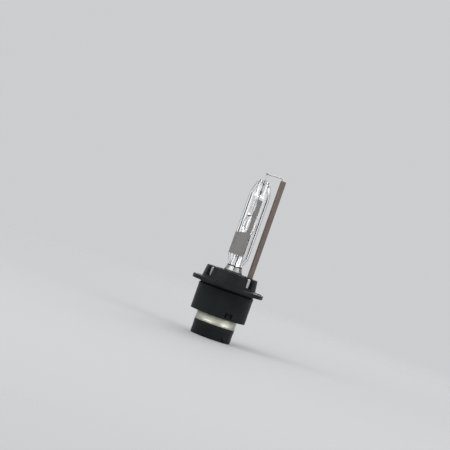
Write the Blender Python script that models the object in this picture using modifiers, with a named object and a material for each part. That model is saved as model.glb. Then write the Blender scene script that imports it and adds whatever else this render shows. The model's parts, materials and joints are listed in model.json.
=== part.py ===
"""A gas-discharge headlight bulb on a prefocus base, as an assembly of separate pieces.

Metres, +Z up. The bulb stands on the rim of its connector socket, with the axis on Z and the return
lead on +X. Heights are counted from the flange's seating plane, as they are on a lamp drawing, and
level() turns one into a Z coordinate.
"""

import math

import bmesh
import bpy
from mathutils import Matrix, Vector

MM = 0.001

# Driving dimensions -------------------------------------------------------------------------
SEAT_TO_RIM = 24.8 * MM  # seating plane down to the socket's rim
SEAT_TO_TIP = 51.2 * MM  # seating plane up to the top of the return lead
LIGHT_CENTRE = 27.1 * MM  # seating plane up to the middle of the arc
ARC_GAP = 4.2 * MM
FLANGE_RADIUS = 16.05 * MM
JACKET_RADIUS = 4.65 * MM
RETURN_LEAD_OFFSET = 7.8 * MM

CLEARANCE = 0.1 * MM  # between pieces that touch on the real lamp
EDGE = 0.3 * MM  # small broken edges
TURN_STEPS = 48
SMALL_TURN_STEPS = 24
WIRE_TURN_STEPS = 16
FINE_WIRE_TURN_STEPS = 12
BEND_STEPS = 6
PAST = 1.0 * MM  # how far a cutter runs past the wall it cuts

# Quartz jacket
JACKET_WALL = 1.1 * MM
JACKET_TOP = 46.4 * MM
JACKET_TOP_NECK_RADIUS = 3.25 * MM
JACKET_TOP_NECK = 45.4 * MM
JACKET_SHOULDER = 40.6 * MM
JACKET_TAPER = 12.9 * MM
JACKET_FOOT_NECK_RADIUS = 2.95 * MM
JACKET_FOOT_NECK = 8.8 * MM
JACKET_FOOT = 6.2 * MM
SHOULDER_POWER = 1.3
TAPER_POWER = 1.1
CURVE_POINTS = 7

# Arc tube, inside the jacket
STEM_RADIUS = 2.2 * MM
STEM_BORE = 0.9 * MM
STEM_TOP = 47.6 * MM
STEM_FOOT = 0.8 * MM
CHAMBER_RADIUS = 3.0 * MM
CHAMBER_HALF_LENGTH = 4.3 * MM
CHAMBER_BORE = 1.4 * MM
CHAMBER_BORE_HALF_LENGTH = 3.6 * MM
SEAL_THICKNESS = 1.2 * MM  # half the pressed seal's thickness
SEAL_START = 4.9 * MM  # from the light centre
SEAL_END = 12.9 * MM
SEAL_BLEND = 1.0 * MM
CHAMBER_RINGS = 12
CHAMBER_POWER = 0.8  # under 1, the chamber is fuller than an ellipsoid
ARC_TUBE_STEPS = 24
ARC_BORE_STEPS = 12
BORE_END_STEPS = 5
LEAD_BORE = 0.4 * MM
ELECTRODE_BORE = 0.3 * MM

# Metal inside the seals
ELECTRODE_RADIUS = 0.18 * MM
ELECTRODE_LENGTH = 4.3 * MM
FOIL_START = 4.95 * MM  # from the light centre
FOIL_LENGTH = 6.6 * MM
FOIL_HALF_WIDTH = 1.0 * MM
FOIL_THICKNESS = 0.06 * MM
FOIL_OFFSET = 0.4 * MM  # the foil lies behind the wires that are welded to it
FOIL_OVERLAP = 1.4 * MM
LEAD_RADIUS = 0.3 * MM

# Outer leads
RETURN_LEAD_RADIUS = 0.33 * MM
RETURN_LEAD_SETTLED = 8.27 * MM  # where the lead lies against the contact ring's tab
BEND_RADIUS = 1.3 * MM
CERAMIC_RADIUS = 1.25 * MM
CERAMIC_BORE = 0.5 * MM
CERAMIC_TOP = 49.8 * MM
CERAMIC_FOOT = 1.6 * MM
WELD_BAND_RADIUS = 0.65 * MM
WELD_BAND_HEIGHT = 0.9 * MM

# Light shield: a baked coating on the jacket, open on the side of the return lead
COATING_THICKNESS = 0.1 * MM
COATING_STANDOFF = 0.03 * MM
COATING_FOOT = 13.1 * MM
BAND_TOP = 23.6 * MM  # on the axis; the band's upper edge climbs towards the return lead
BAND_TOP_SLOPE = math.tan(math.radians(12.7))
STRIPE_TOP = 38.7 * MM
STRIPE_NEAR = math.radians(64.5)  # the stripes' two edges, as angles from the return lead
STRIPE_FAR = math.radians(87.5)

# Burner clamp and its mounting ring
CLAMP_TOP = 8.35 * MM
CLAMP_COLLAR = 8.05 * MM
CLAMP_FOOT = 5.05 * MM
CLAMP_COLLAR_RADIUS = 3.3 * MM
CLAMP_FOOT_RADIUS = 4.35 * MM
CLAMP_WALL = 0.25 * MM
CLAMP_SLOTS = 8
CLAMP_FIRST_SLOT = 3.25  # degrees from +X
CLAMP_SLOT_WIDTH = 0.5 * MM
CLAMP_SLOT_FOOT = 6.6 * MM
RING_TOP = 4.95 * MM
RING_THICKNESS = 0.45 * MM
RING_RADIUS = 6.0 * MM
RING_BORE = 3.3 * MM
RING_LEG_OUTER = 10.9 * MM
RING_LEG_FOOT = 1.1 * MM
RING_LEG_WIDTH = 2.4 * MM
NOTCH_ANGLES = (39, 140, 219, 320)  # the ring's legs, and the crown's notches for them

# Base crown, with the seating flange
CROWN_TOP = 5.3 * MM
CROWN_TOP_RADIUS = 11.5 * MM
CROWN_FOOT_RADIUS = 12.25 * MM
CROWN_RECESS_RADIUS = 6.2 * MM
CROWN_RECESS_FLOOR = 4.15 * MM
CROWN_BORE = 2.6 * MM
CROWN_DECK = -1.7 * MM
FLANGE_FACE = -0.25 * MM
FLANGE_BACK = -2.0 * MM
FLANGE_ROOT_RADIUS = 12.7 * MM
GROOVE_RADIUS = 11.9 * MM
GROOVE_FOOT = -2.8 * MM
SPIGOT_RADIUS = 10.6 * MM
SPIGOT_BORE = 9.2 * MM
SPIGOT_FOOT = -6.3 * MM
NOTCH_INNER = 5.8 * MM
NOTCH_WIDTH = 3.4 * MM
NOTCH_FLOOR = 0.9 * MM
BOSS_ANGLES = (20, 110, 245)
BOSS_RADIUS = 14.2 * MM
BOSS_LENGTH = 2.2 * MM
BOSS_WIDTH = 3.4 * MM
KEYS = ((66, 4.0 * MM, 2.4 * MM), (135, 2.4 * MM, 1.6 * MM), (160, 2.4 * MM, 1.6 * MM))
LEAD_HOLE = 0.65 * MM

# Base body
BODY_RADIUS = 12.45 * MM
BODY_BORE = 10.9 * MM
BODY_TOP = -2.9 * MM
BODY_FOOT = -14.7 * MM
BODY_FLOOR = -13.0 * MM
BODY_OPENING = 9.45 * MM
BODY_FOOT_EDGE = 0.4 * MM
LATCH_ANGLE = -65  # degrees from +X
LATCH_WIDTH = 3.5 * MM
LATCH_LOW = -13.9 * MM
LATCH_HIGH = -11.8 * MM
LATCH_DEPTH = 0.45 * MM

# Connector socket, contact ring and contact pin
SOCKET_TOP = -10.6 * MM
SOCKET_DISC_RADIUS = 10.5 * MM
SOCKET_DISC_FOOT = -12.9 * MM
SOCKET_SEAT_RADIUS = 8.5 * MM
SOCKET_SEAT_FOOT = -18.65 * MM
SOCKET_RADIUS = 9.1 * MM
SOCKET_BORE = 7.0 * MM
SOCKET_FLOOR = -14.6 * MM
SOCKET_PIN_HOLE = 1.75 * MM
LUG_ANGLES = (-43, 137)
LUG_PROUD = 0.9 * MM
LUG_WIDTH = 2.2 * MM
LUG_HEIGHT = 1.8 * MM
LUG_LOW = -24.3 * MM
CONTACT_RING_TOP = -13.05 * MM
CONTACT_RING_FOOT = -18.55 * MM
CONTACT_RING_INNER = 8.65 * MM
CONTACT_RING_OUTER = 9.2 * MM
CONTACT_TAB_TOP = -9.0 * MM
CONTACT_TAB_WIDTH = 2.4 * MM
TAB_NOTCH_WIDTH = 3.2 * MM
TAB_NOTCH_INNER = 7.6 * MM
PIN_RADIUS = 1.6 * MM
PIN_BORE = 0.65 * MM
PIN_NOSE_STEPS = 4
PIN_NOSE_FLAT = 0.88 * MM
PIN_TOP = -9.2 * MM
PIN_TIP = -22.5 * MM
PIN_COLLAR_RADIUS = 3.0 * MM
PIN_COLLAR_FOOT = -10.5 * MM
RETURN_LEAD_FOOT = -12.0 * MM

# Insulation inside the base
SLEEVE_RADIUS = 2.3 * MM
SLEEVE_BORE = 0.6 * MM
SLEEVE_TOP = 0.5 * MM
SLEEVE_FOOT = -9.0 * MM
POTTING_TOP = -6.5 * MM
POTTING_FOOT = -8.7 * MM
POTTING_RADIUS = 10.6 * MM

COLOURS = {  # colour, roughness, metallic, transmission
    "quartz": ((0.94, 0.96, 0.97), 0.03, 0.0, 1.0),
    "coating": ((0.21, 0.20, 0.195), 0.75, 0.0, 0.0),
    "tungsten": ((0.28, 0.28, 0.30), 0.4, 1.0, 0.0),
    "molybdenum": ((0.55, 0.55, 0.57), 0.35, 1.0, 0.0),
    "nickel": ((0.72, 0.70, 0.66), 0.3, 1.0, 0.0),
    "ceramic": ((0.42, 0.38, 0.35), 0.6, 0.0, 0.0),
    "steel": ((0.75, 0.76, 0.77), 0.22, 1.0, 0.0),
    "black_plastic": ((0.022, 0.026, 0.028), 0.5, 0.0, 0.0),
    "contact": ((0.70, 0.69, 0.65), 0.35, 1.0, 0.0),
    "silicone": ((0.62, 0.60, 0.56), 0.7, 0.0, 0.0),
}


def level(height):
    """The Z coordinate of a height above the seating plane."""
    return SEAT_TO_RIM + height


# Helpers ------------------------------------------------------------------------------------


def clear_scene():
    for obj in list(bpy.data.objects):
        bpy.data.objects.remove(obj, do_unlink=True)


def new_collection(name):
    collection = bpy.data.collections.new(name)
    bpy.context.scene.collection.children.link(collection)
    return collection


def make_materials():
    made = {}
    for name, (colour, roughness, metallic, transmission) in COLOURS.items():
        material = bpy.data.materials.new(name)
        material.use_nodes = True
        shader = material.node_tree.nodes["Principled BSDF"]
        shader.inputs["Base Color"].default_value = (*colour, 1.0)
        shader.inputs["Roughness"].default_value = roughness
        shader.inputs["Metallic"].default_value = metallic
        shader.inputs["Transmission Weight"].default_value = transmission
        made[name] = material
    return made


def add_object(name, data, material=None):
    """A part in the bulb's collection, or a cutter where no material is given."""
    obj = bpy.data.objects.new(name, data)
    if material:
        PARTS.objects.link(obj)
        data.materials.append(MATERIALS[material])
    else:
        CUTTERS.objects.link(obj)
        obj.hide_render = True
        obj.display_type = "WIRE"
    return obj


def mesh_object(name, made, material=None):
    """An object from a bmesh, with its faces turned outwards."""
    bmesh.ops.recalc_face_normals(made, faces=made.faces)
    mesh = bpy.data.meshes.new(name)
    made.to_mesh(mesh)
    made.free()
    return add_object(name, mesh, material)


def turned(name, profile, material=None, steps=TURN_STEPS, at=0.0):
    """A closed profile of (radius, height) turned about an upright axis that crosses X at `at`.

    The profile runs down the outer side and back up the inner side. Where its first and last points
    are on the axis, it stays open there.
    """
    points = [(radius, 0.0, level(height)) for radius, height in profile]
    edges = [(i, i + 1) for i in range(len(points) - 1)]
    if profile[0][0] > 0:
        edges.append((len(points) - 1, 0))
    mesh = bpy.data.meshes.new(name)
    mesh.from_pydata(points, edges, [])
    obj = add_object(name, mesh, material)
    obj.location.x = at
    screw = obj.modifiers.new("turn", "SCREW")
    screw.steps = screw.render_steps = steps
    screw.use_merge_vertices = True
    screw.merge_threshold = 1e-6
    screw.use_smooth_shade = False
    return obj


def tube(name, outer, inner, top, foot, material=None, steps=SMALL_TURN_STEPS, at=0.0):
    profile = [(inner, top), (outer, top), (outer, foot), (inner, foot)]
    return turned(name, profile, material, steps, at)


def rod(name, radius, top, foot, material=None, steps=SMALL_TURN_STEPS, at=0.0):
    profile = [(0.0, top), (radius, top), (radius, foot), (0.0, foot)]
    return turned(name, profile, material, steps, at)


def box(name, low, high, material=None, turn=0.0):
    """A box between two corners of (x, y, height), turned about Z by `turn` degrees."""
    low, high = Vector(low), Vector(high)
    made = bmesh.new()
    bmesh.ops.create_cube(made, size=1.0)
    size, middle = high - low, (high + low) / 2
    middle.z = level(middle.z)
    place = Matrix.Translation(middle) @ Matrix.Diagonal((*size, 1.0))
    bmesh.ops.transform(made, matrix=place, verts=made.verts)
    obj = mesh_object(name, made, material)
    obj.rotation_euler.z = math.radians(turn)
    return obj


def prism(name, outline, foot, top, slope=0.0):
    """A cutter: an outline of (x, y) points drawn up from one height to another.

    With a slope, the prism leans: each height is the one on the axis, and rises with X.
    """
    made = bmesh.new()
    face = made.faces.new([made.verts.new((x, y, level(foot) + slope * x)) for x, y in outline])
    drawn = bmesh.ops.extrude_face_region(made, geom=[face])["geom"]
    rise = Vector((0, 0, top - foot))
    bmesh.ops.translate(made, vec=rise, verts=[v for v in drawn if isinstance(v, bmesh.types.BMVert)])
    return mesh_object(name, made)


def bent_strip(name, outline, width, turn):
    """An outline of (x, height) points given a width along Y, and turned about Z by `turn` degrees."""
    made = bmesh.new()
    face = made.faces.new([made.verts.new((x, -width / 2, level(height))) for x, height in outline])
    drawn = bmesh.ops.extrude_face_region(made, geom=[face])["geom"]
    across = Vector((0, width, 0))
    bmesh.ops.translate(made, vec=across, verts=[v for v in drawn if isinstance(v, bmesh.types.BMVert)])
    obj = mesh_object(name, made)
    obj.rotation_euler.z = math.radians(turn)
    return obj


def wedge(start, end, reach, count=8):
    """A pie slice's outline between two angles about Z."""
    turns = [start + (end - start) * i / count for i in range(count + 1)]
    return [(0.0, 0.0)] + [(reach * math.cos(t), reach * math.sin(t)) for t in turns]


def combine(obj, other, operation="DIFFERENCE"):
    modifier = obj.modifiers.new(other.name, "BOOLEAN")
    modifier.operation = operation
    modifier.solver = "EXACT"
    modifier.object = other


def curved_step(start, end, power):
    """(radius, height) points from start to end. The curve leaves start upright."""
    points = []
    for i in range(CURVE_POINTS + 1):
        share = i / CURVE_POINTS
        radius = start[0] + (end[0] - start[0]) * share**power
        points.append((radius, start[1] + (end[1] - start[1]) * share))
    return points


# Glass --------------------------------------------------------------------------------------


def build_outer_envelope():
    """The quartz jacket: a straight tube, drawn in to an open neck at each end."""
    bore = STEM_RADIUS + CLEARANCE
    inner = JACKET_RADIUS - JACKET_WALL
    shoulder = curved_step(
        (JACKET_RADIUS, JACKET_SHOULDER), (JACKET_TOP_NECK_RADIUS, JACKET_TOP_NECK), SHOULDER_POWER
    )
    taper = curved_step(
        (JACKET_RADIUS, JACKET_TAPER), (JACKET_FOOT_NECK_RADIUS, JACKET_FOOT_NECK), TAPER_POWER
    )
    inner_taper = curved_step(
        (inner, JACKET_TAPER), (bore, JACKET_FOOT_NECK + JACKET_WALL / 2), TAPER_POWER
    )
    inner_shoulder = curved_step(
        (inner, JACKET_SHOULDER), (bore, JACKET_TOP_NECK - JACKET_WALL / 2), SHOULDER_POWER
    )
    profile = [(bore, JACKET_TOP), (JACKET_TOP_NECK_RADIUS, JACKET_TOP)]
    profile += shoulder[::-1] + taper
    profile += [(JACKET_FOOT_NECK_RADIUS, JACKET_FOOT), (bore, JACKET_FOOT)]
    profile += inner_taper[::-1] + inner_shoulder
    turned("outer_envelope", profile, "quartz")


def build_light_shield():
    """A wide band near the base, and a stripe up each side from it. One ring is cut down to both."""
    inner = JACKET_RADIUS + COATING_STANDOFF
    outer = inner + COATING_THICKNESS
    reach = 2 * JACKET_RADIUS
    shield = tube(
        "light_shield_coating", outer, inner, STRIPE_TOP, COATING_FOOT, "coating", TURN_STEPS
    )
    window = prism(
        "cut_shield_window",
        wedge(-STRIPE_NEAR, STRIPE_NEAR, reach),
        COATING_FOOT - PAST,
        STRIPE_TOP + PAST,
    )
    between = prism(
        "cut_between_stripes",
        wedge(STRIPE_FAR, 2 * math.pi - STRIPE_FAR, reach, 16),
        BAND_TOP,
        STRIPE_TOP + reach,
        BAND_TOP_SLOPE,
    )
    combine(shield, window)
    combine(shield, between)


def arc_tube_sections():
    """(height, half width, half depth) of the arc tube, from its foot to its top."""
    sections = [(STEM_FOOT, STEM_RADIUS, STEM_RADIUS)]
    lower = [
        (LIGHT_CENTRE - SEAL_END - SEAL_BLEND, STEM_RADIUS, STEM_RADIUS),
        (LIGHT_CENTRE - SEAL_END, STEM_RADIUS, SEAL_THICKNESS),
        (LIGHT_CENTRE - SEAL_START, STEM_RADIUS, SEAL_THICKNESS),
    ]
    chamber = []
    for i in range(1, CHAMBER_RINGS):
        turn = math.pi * i / CHAMBER_RINGS
        radius = CHAMBER_RADIUS * math.sin(turn) ** CHAMBER_POWER
        height = LIGHT_CENTRE - CHAMBER_HALF_LENGTH * math.cos(turn)
        if radius > SEAL_THICKNESS:
            chamber.append((height, max(radius, STEM_RADIUS), radius))
    upper = [(2 * LIGHT_CENTRE - h, a, b) for h, a, b in reversed(lower)]
    return sections + lower + chamber + upper + [(STEM_TOP, STEM_RADIUS, STEM_RADIUS)]


def loft(name, sections, steps, material):
    """A closed skin over elliptical sections."""
    made = bmesh.new()
    rings = []
    for height, width, depth in sections:
        turns = [2 * math.pi * i / steps for i in range(steps)]
        rings.append(
            [made.verts.new((width * math.cos(t), depth * math.sin(t), level(height))) for t in turns]
        )
    for low, high in zip(rings, rings[1:]):
        for i in range(steps):
            after = (i + 1) % steps
            made.faces.new((low[i], low[after], high[after], high[i]))
    made.faces.new(rings[0][::-1])
    made.faces.new(rings[-1])
    return mesh_object(name, made, material)


def build_arc_tube():
    """The burner: stem, seal, discharge chamber, seal, stem, with a bore from end to end."""
    tube_body = loft("arc_tube", arc_tube_sections(), ARC_TUBE_STEPS, "quartz")
    half = []  # the bore's profile above the light centre, from the top down
    half += [(STEM_BORE, STEM_TOP + PAST), (STEM_BORE, LIGHT_CENTRE + SEAL_END + SEAL_BLEND)]
    half += [(LEAD_BORE, LIGHT_CENTRE + SEAL_END)]
    half += [(LEAD_BORE, LIGHT_CENTRE + FOIL_START + FOIL_OVERLAP)]
    half += [(ELECTRODE_BORE, LIGHT_CENTRE + FOIL_START)]
    half += [(ELECTRODE_BORE, LIGHT_CENTRE + CHAMBER_BORE_HALF_LENGTH)]
    for i in range(1, BORE_END_STEPS + 1):
        turn = math.pi / 2 * i / BORE_END_STEPS
        radius = ELECTRODE_BORE + (CHAMBER_BORE - ELECTRODE_BORE) * math.sin(turn)
        half.append((radius, LIGHT_CENTRE + CHAMBER_BORE_HALF_LENGTH * math.cos(turn)))
    mirrored = [(radius, 2 * LIGHT_CENTRE - height) for radius, height in reversed(half[:-1])]
    mirrored[-1] = (STEM_BORE, STEM_FOOT - PAST)
    profile = [(0.0, STEM_TOP + PAST)] + half + mirrored + [(0.0, STEM_FOOT - PAST)]
    combine(tube_body, turned("cut_arc_tube_bore", profile, steps=ARC_BORE_STEPS))
    for side in (1, -1):
        near = LIGHT_CENTRE + side * (FOIL_START - CLEARANCE)
        far = LIGHT_CENTRE + side * (FOIL_START + FOIL_LENGTH + CLEARANCE)
        slot = box(
            f"cut_foil_slot_{side}",
            (-FOIL_HALF_WIDTH - CLEARANCE, FOIL_OFFSET - 2 * CLEARANCE, min(near, far)),
            (FOIL_HALF_WIDTH + CLEARANCE, FOIL_OFFSET + CLEARANCE, max(near, far)),
        )
        combine(tube_body, slot)


def build_seal_metal():
    """Electrodes, foils and lead-in wires, the same above and below the arc."""
    for side, where in ((1, "upper"), (-1, "lower")):
        tip = LIGHT_CENTRE + side * ARC_GAP / 2
        root = tip + side * ELECTRODE_LENGTH
        high, low = max(tip, root), min(tip, root)
        rod(f"{where}_electrode", ELECTRODE_RADIUS, high, low, "tungsten", FINE_WIRE_TURN_STEPS)
        near = LIGHT_CENTRE + side * FOIL_START
        far = near + side * FOIL_LENGTH
        box(
            f"{where}_foil",
            (-FOIL_HALF_WIDTH, FOIL_OFFSET - FOIL_THICKNESS / 2, min(near, far)),
            (FOIL_HALF_WIDTH, FOIL_OFFSET + FOIL_THICKNESS / 2, max(near, far)),
            "molybdenum",
        )
        joint = far - side * FOIL_OVERLAP
        end = SEAT_TO_TIP - CLEARANCE if side > 0 else PIN_TIP + PAST
        high, low = max(joint, end), min(joint, end)
        rod(f"{where}_lead_in", LEAD_RADIUS, high, low, "molybdenum", WIRE_TURN_STEPS)


# Leads --------------------------------------------------------------------------------------


def return_lead_route():
    """From the weld band across the top, down the ceramic sleeve and into the base."""
    across = SEAT_TO_TIP - RETURN_LEAD_RADIUS
    route = [(WELD_BAND_RADIUS + CLEARANCE, across), (RETURN_LEAD_OFFSET / 2, across)]
    for i in range(BEND_STEPS + 1):
        turn = math.pi / 2 * i / BEND_STEPS
        x = RETURN_LEAD_OFFSET - BEND_RADIUS * (1 - math.sin(turn))
        route.append((x, across - BEND_RADIUS * (1 - math.cos(turn))))
    route += [(RETURN_LEAD_OFFSET, CERAMIC_FOOT)]
    route += [(RETURN_LEAD_SETTLED, SPIGOT_FOOT), (RETURN_LEAD_SETTLED, RETURN_LEAD_FOOT)]
    return route


def build_return_lead():
    curve = bpy.data.curves.new("return_lead", "CURVE")
    curve.dimensions = "3D"
    curve.bevel_depth = RETURN_LEAD_RADIUS
    curve.bevel_resolution = 3
    curve.use_fill_caps = True
    spline = curve.splines.new("POLY")
    route = return_lead_route()
    spline.points.add(len(route) - 1)
    for point, (x, height) in zip(spline.points, route):
        point.co = (x, 0.0, level(height), 1.0)
    add_object("return_lead", curve, "nickel")


def build_lead_fittings():
    tube(
        "ceramic_sleeve",
        CERAMIC_RADIUS,
        CERAMIC_BORE,
        CERAMIC_TOP,
        CERAMIC_FOOT,
        "ceramic",
        SMALL_TURN_STEPS,
        RETURN_LEAD_OFFSET,
    )
    tube(
        "tip_weld_band",
        WELD_BAND_RADIUS,
        LEAD_RADIUS + CLEARANCE / 2,
        SEAT_TO_TIP,
        SEAT_TO_TIP - WELD_BAND_HEIGHT,
        "nickel",
        16,
    )


# Burner mounting ----------------------------------------------------------------------------


def build_burner_clamp():
    """A flared steel skirt, slotted above into fingers that grip the jacket's foot neck."""
    inner_collar = CLAMP_COLLAR_RADIUS - CLAMP_WALL
    profile = [(inner_collar, CLAMP_TOP), (CLAMP_COLLAR_RADIUS, CLAMP_TOP)]
    profile += [(CLAMP_COLLAR_RADIUS, CLAMP_COLLAR), (CLAMP_FOOT_RADIUS, CLAMP_FOOT)]
    profile += [(CLAMP_FOOT_RADIUS - CLAMP_WALL, CLAMP_FOOT), (inner_collar, CLAMP_COLLAR)]
    clamp = turned("burner_clamp", profile, "steel")
    for i in range(CLAMP_SLOTS):
        slot = box(
            f"cut_clamp_slot_{i}",
            (0.0, -CLAMP_SLOT_WIDTH / 2, CLAMP_SLOT_FOOT),
            (CLAMP_FOOT_RADIUS + PAST, CLAMP_SLOT_WIDTH / 2, CLAMP_TOP + PAST),
            turn=CLAMP_FIRST_SLOT + 360 * i / CLAMP_SLOTS,
        )
        combine(clamp, slot)


def build_mounting_ring():
    """A flat steel ring under the clamp, with a leg bent down in each of the crown's notches."""
    under = RING_TOP - RING_THICKNESS
    ring = tube("mounting_ring", RING_RADIUS, RING_BORE, RING_TOP, under, "steel", TURN_STEPS)
    root = (RING_BORE + RING_RADIUS) / 2
    top = RING_TOP - CLEARANCE
    arm_under = under + CLEARANCE
    leg_inner = RING_LEG_OUTER - RING_THICKNESS
    outline = [(root, top), (RING_LEG_OUTER, top), (RING_LEG_OUTER, RING_LEG_FOOT)]
    outline += [(leg_inner, RING_LEG_FOOT), (leg_inner, arm_under), (root, arm_under)]
    for angle in NOTCH_ANGLES:
        leg = bent_strip(f"join_leg_{angle}", outline, RING_LEG_WIDTH, angle)
        combine(ring, leg, "UNION")


# Base ---------------------------------------------------------------------------------------


def build_base_crown():
    """The upper moulding: a short notched cone, the seating flange, and a spigot for the body."""
    profile = [(CROWN_RECESS_RADIUS, CROWN_TOP), (CROWN_TOP_RADIUS - EDGE, CROWN_TOP)]
    profile += [(CROWN_TOP_RADIUS, CROWN_TOP - EDGE), (CROWN_FOOT_RADIUS, FLANGE_FACE)]
    profile += [(FLANGE_RADIUS - EDGE, FLANGE_FACE), (FLANGE_RADIUS, FLANGE_FACE - EDGE)]
    profile += [(FLANGE_RADIUS, FLANGE_BACK + EDGE), (FLANGE_RADIUS - EDGE, FLANGE_BACK)]
    profile += [(FLANGE_ROOT_RADIUS, FLANGE_BACK), (GROOVE_RADIUS, GROOVE_FOOT)]
    profile += [(SPIGOT_RADIUS, GROOVE_FOOT), (SPIGOT_RADIUS, SPIGOT_FOOT), (SPIGOT_BORE, SPIGOT_FOOT)]
    profile += [(SPIGOT_BORE, CROWN_DECK), (CROWN_BORE, CROWN_DECK), (CROWN_BORE, CROWN_RECESS_FLOOR)]
    profile += [(CROWN_RECESS_RADIUS, CROWN_RECESS_FLOOR)]
    crown = turned("base_crown", profile, "black_plastic")
    for angle in NOTCH_ANGLES:
        notch = box(
            f"cut_notch_{angle}",
            (NOTCH_INNER, -NOTCH_WIDTH / 2, NOTCH_FLOOR),
            (CROWN_FOOT_RADIUS + PAST, NOTCH_WIDTH / 2, CROWN_TOP + PAST),
            turn=angle,
        )
        combine(crown, notch)
    for angle, width, depth in KEYS:
        key = box(
            f"cut_key_{angle}",
            (FLANGE_RADIUS - depth, -width / 2, FLANGE_BACK - PAST),
            (FLANGE_RADIUS + PAST, width / 2, PAST),
            turn=angle,
        )
        combine(crown, key)
    for angle in BOSS_ANGLES:
        boss = box(
            f"join_boss_{angle}",
            (BOSS_RADIUS - BOSS_LENGTH / 2, -BOSS_WIDTH / 2, FLANGE_FACE - EDGE),
            (BOSS_RADIUS + BOSS_LENGTH / 2, BOSS_WIDTH / 2, 0.0),
            turn=angle,
        )
        combine(crown, boss, "UNION")
    sleeve_hole = rod(
        "cut_sleeve_hole",
        CERAMIC_RADIUS + CLEARANCE,
        CROWN_TOP + PAST,
        CERAMIC_FOOT - CLEARANCE,
        at=RETURN_LEAD_OFFSET,
    )
    combine(crown, sleeve_hole)
    lead_hole = box(
        "cut_lead_hole",
        (RETURN_LEAD_OFFSET - LEAD_HOLE, -LEAD_HOLE, CROWN_DECK - PAST),
        (RETURN_LEAD_SETTLED + LEAD_HOLE, LEAD_HOLE, CERAMIC_FOOT),
    )
    combine(crown, lead_hole)


def build_base_body():
    """The lower housing: a cup with an opening in its floor for the socket."""
    profile = [(BODY_BORE, BODY_TOP), (BODY_RADIUS - EDGE / 2, BODY_TOP)]
    profile += [(BODY_RADIUS, BODY_TOP - EDGE / 2)]
    profile += [(BODY_RADIUS, BODY_FOOT + BODY_FOOT_EDGE), (BODY_RADIUS - BODY_FOOT_EDGE, BODY_FOOT)]
    profile += [(BODY_OPENING, BODY_FOOT), (BODY_OPENING, BODY_FLOOR), (BODY_BORE, BODY_FLOOR)]
    body = turned("base_body", profile, "black_plastic")
    latch = box(
        "cut_latch",
        (BODY_RADIUS - LATCH_DEPTH, -LATCH_WIDTH / 2, LATCH_LOW),
        (BODY_RADIUS + PAST, LATCH_WIDTH / 2, LATCH_HIGH),
        turn=LATCH_ANGLE,
    )
    combine(body, latch)


def build_contact_ring():
    """The return contact: a band round the socket, with a tab that the return lead is welded to."""
    ring = tube(
        "contact_ring",
        CONTACT_RING_OUTER,
        CONTACT_RING_INNER,
        CONTACT_RING_TOP,
        CONTACT_RING_FOOT,
        "contact",
        TURN_STEPS,
    )
    half = CONTACT_TAB_WIDTH / 2
    tab = box(
        "join_contact_tab",
        (CONTACT_RING_INNER + CLEARANCE, -half, CONTACT_RING_TOP - PAST),
        (CONTACT_RING_OUTER - CLEARANCE, half, CONTACT_TAB_TOP),
    )
    combine(ring, tab, "UNION")


def build_connector_socket():
    """The insulating insert: a disc in the body, a seat for the contact ring, and the socket."""
    rim = -SEAT_TO_RIM
    profile = [(SOCKET_PIN_HOLE, SOCKET_TOP), (SOCKET_DISC_RADIUS, SOCKET_TOP)]
    profile += [(SOCKET_DISC_RADIUS, SOCKET_DISC_FOOT), (SOCKET_SEAT_RADIUS, SOCKET_DISC_FOOT)]
    profile += [(SOCKET_SEAT_RADIUS, SOCKET_SEAT_FOOT), (SOCKET_RADIUS, SOCKET_SEAT_FOOT)]
    profile += [(SOCKET_RADIUS, rim + EDGE), (SOCKET_RADIUS - EDGE, rim), (SOCKET_BORE + EDGE, rim)]
    profile += [(SOCKET_BORE, rim + EDGE), (SOCKET_BORE, SOCKET_FLOOR), (SOCKET_PIN_HOLE, SOCKET_FLOOR)]
    socket = turned("connector_socket", profile, "black_plastic")
    for angle in LUG_ANGLES:
        lug = box(
            f"join_lug_{angle}",
            (SOCKET_RADIUS - LUG_PROUD, -LUG_WIDTH / 2, LUG_LOW),
            (SOCKET_RADIUS + LUG_PROUD, LUG_WIDTH / 2, LUG_LOW + LUG_HEIGHT),
            turn=angle,
        )
        combine(socket, lug, "UNION")
    notch = box(
        "cut_tab_notch",
        (TAB_NOTCH_INNER, -TAB_NOTCH_WIDTH / 2, SOCKET_DISC_FOOT - CLEARANCE / 2),
        (SOCKET_DISC_RADIUS + PAST, TAB_NOTCH_WIDTH / 2, SOCKET_TOP + PAST),
    )
    combine(socket, notch)


def build_contact_pin():
    """The high-voltage contact: a hollow pin with a collar, which the lower lead-in runs down into."""
    nose = [(PIN_RADIUS, PIN_TIP + PIN_RADIUS / 2)]
    for i in range(1, PIN_NOSE_STEPS):
        turn = math.pi / 2 * i / PIN_NOSE_STEPS
        radius = PIN_RADIUS / 2 * (1 + math.cos(turn))
        nose.append((radius, PIN_TIP + PIN_RADIUS / 2 * (1 - math.sin(turn))))
    profile = [(PIN_BORE, PIN_TOP), (PIN_COLLAR_RADIUS, PIN_TOP), (PIN_COLLAR_RADIUS, PIN_COLLAR_FOOT)]
    profile += [(PIN_RADIUS, PIN_COLLAR_FOOT)] + nose + [(PIN_NOSE_FLAT, PIN_TIP), (PIN_BORE, PIN_TIP)]
    turned("contact_pin", profile, "contact", SMALL_TURN_STEPS)


def build_insulation():
    tube("hv_insulator", SLEEVE_RADIUS, SLEEVE_BORE, SLEEVE_TOP, SLEEVE_FOOT, "silicone")
    potting = tube(
        "potting_compound",
        POTTING_RADIUS,
        SLEEVE_RADIUS + CLEARANCE,
        POTTING_TOP,
        POTTING_FOOT,
        "silicone",
    )
    lead_hole = rod(
        "cut_potting_lead_hole",
        LEAD_HOLE,
        POTTING_TOP + PAST,
        POTTING_FOOT - PAST,
        steps=FINE_WIRE_TURN_STEPS,
        at=RETURN_LEAD_SETTLED,
    )
    combine(potting, lead_hole)


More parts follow.
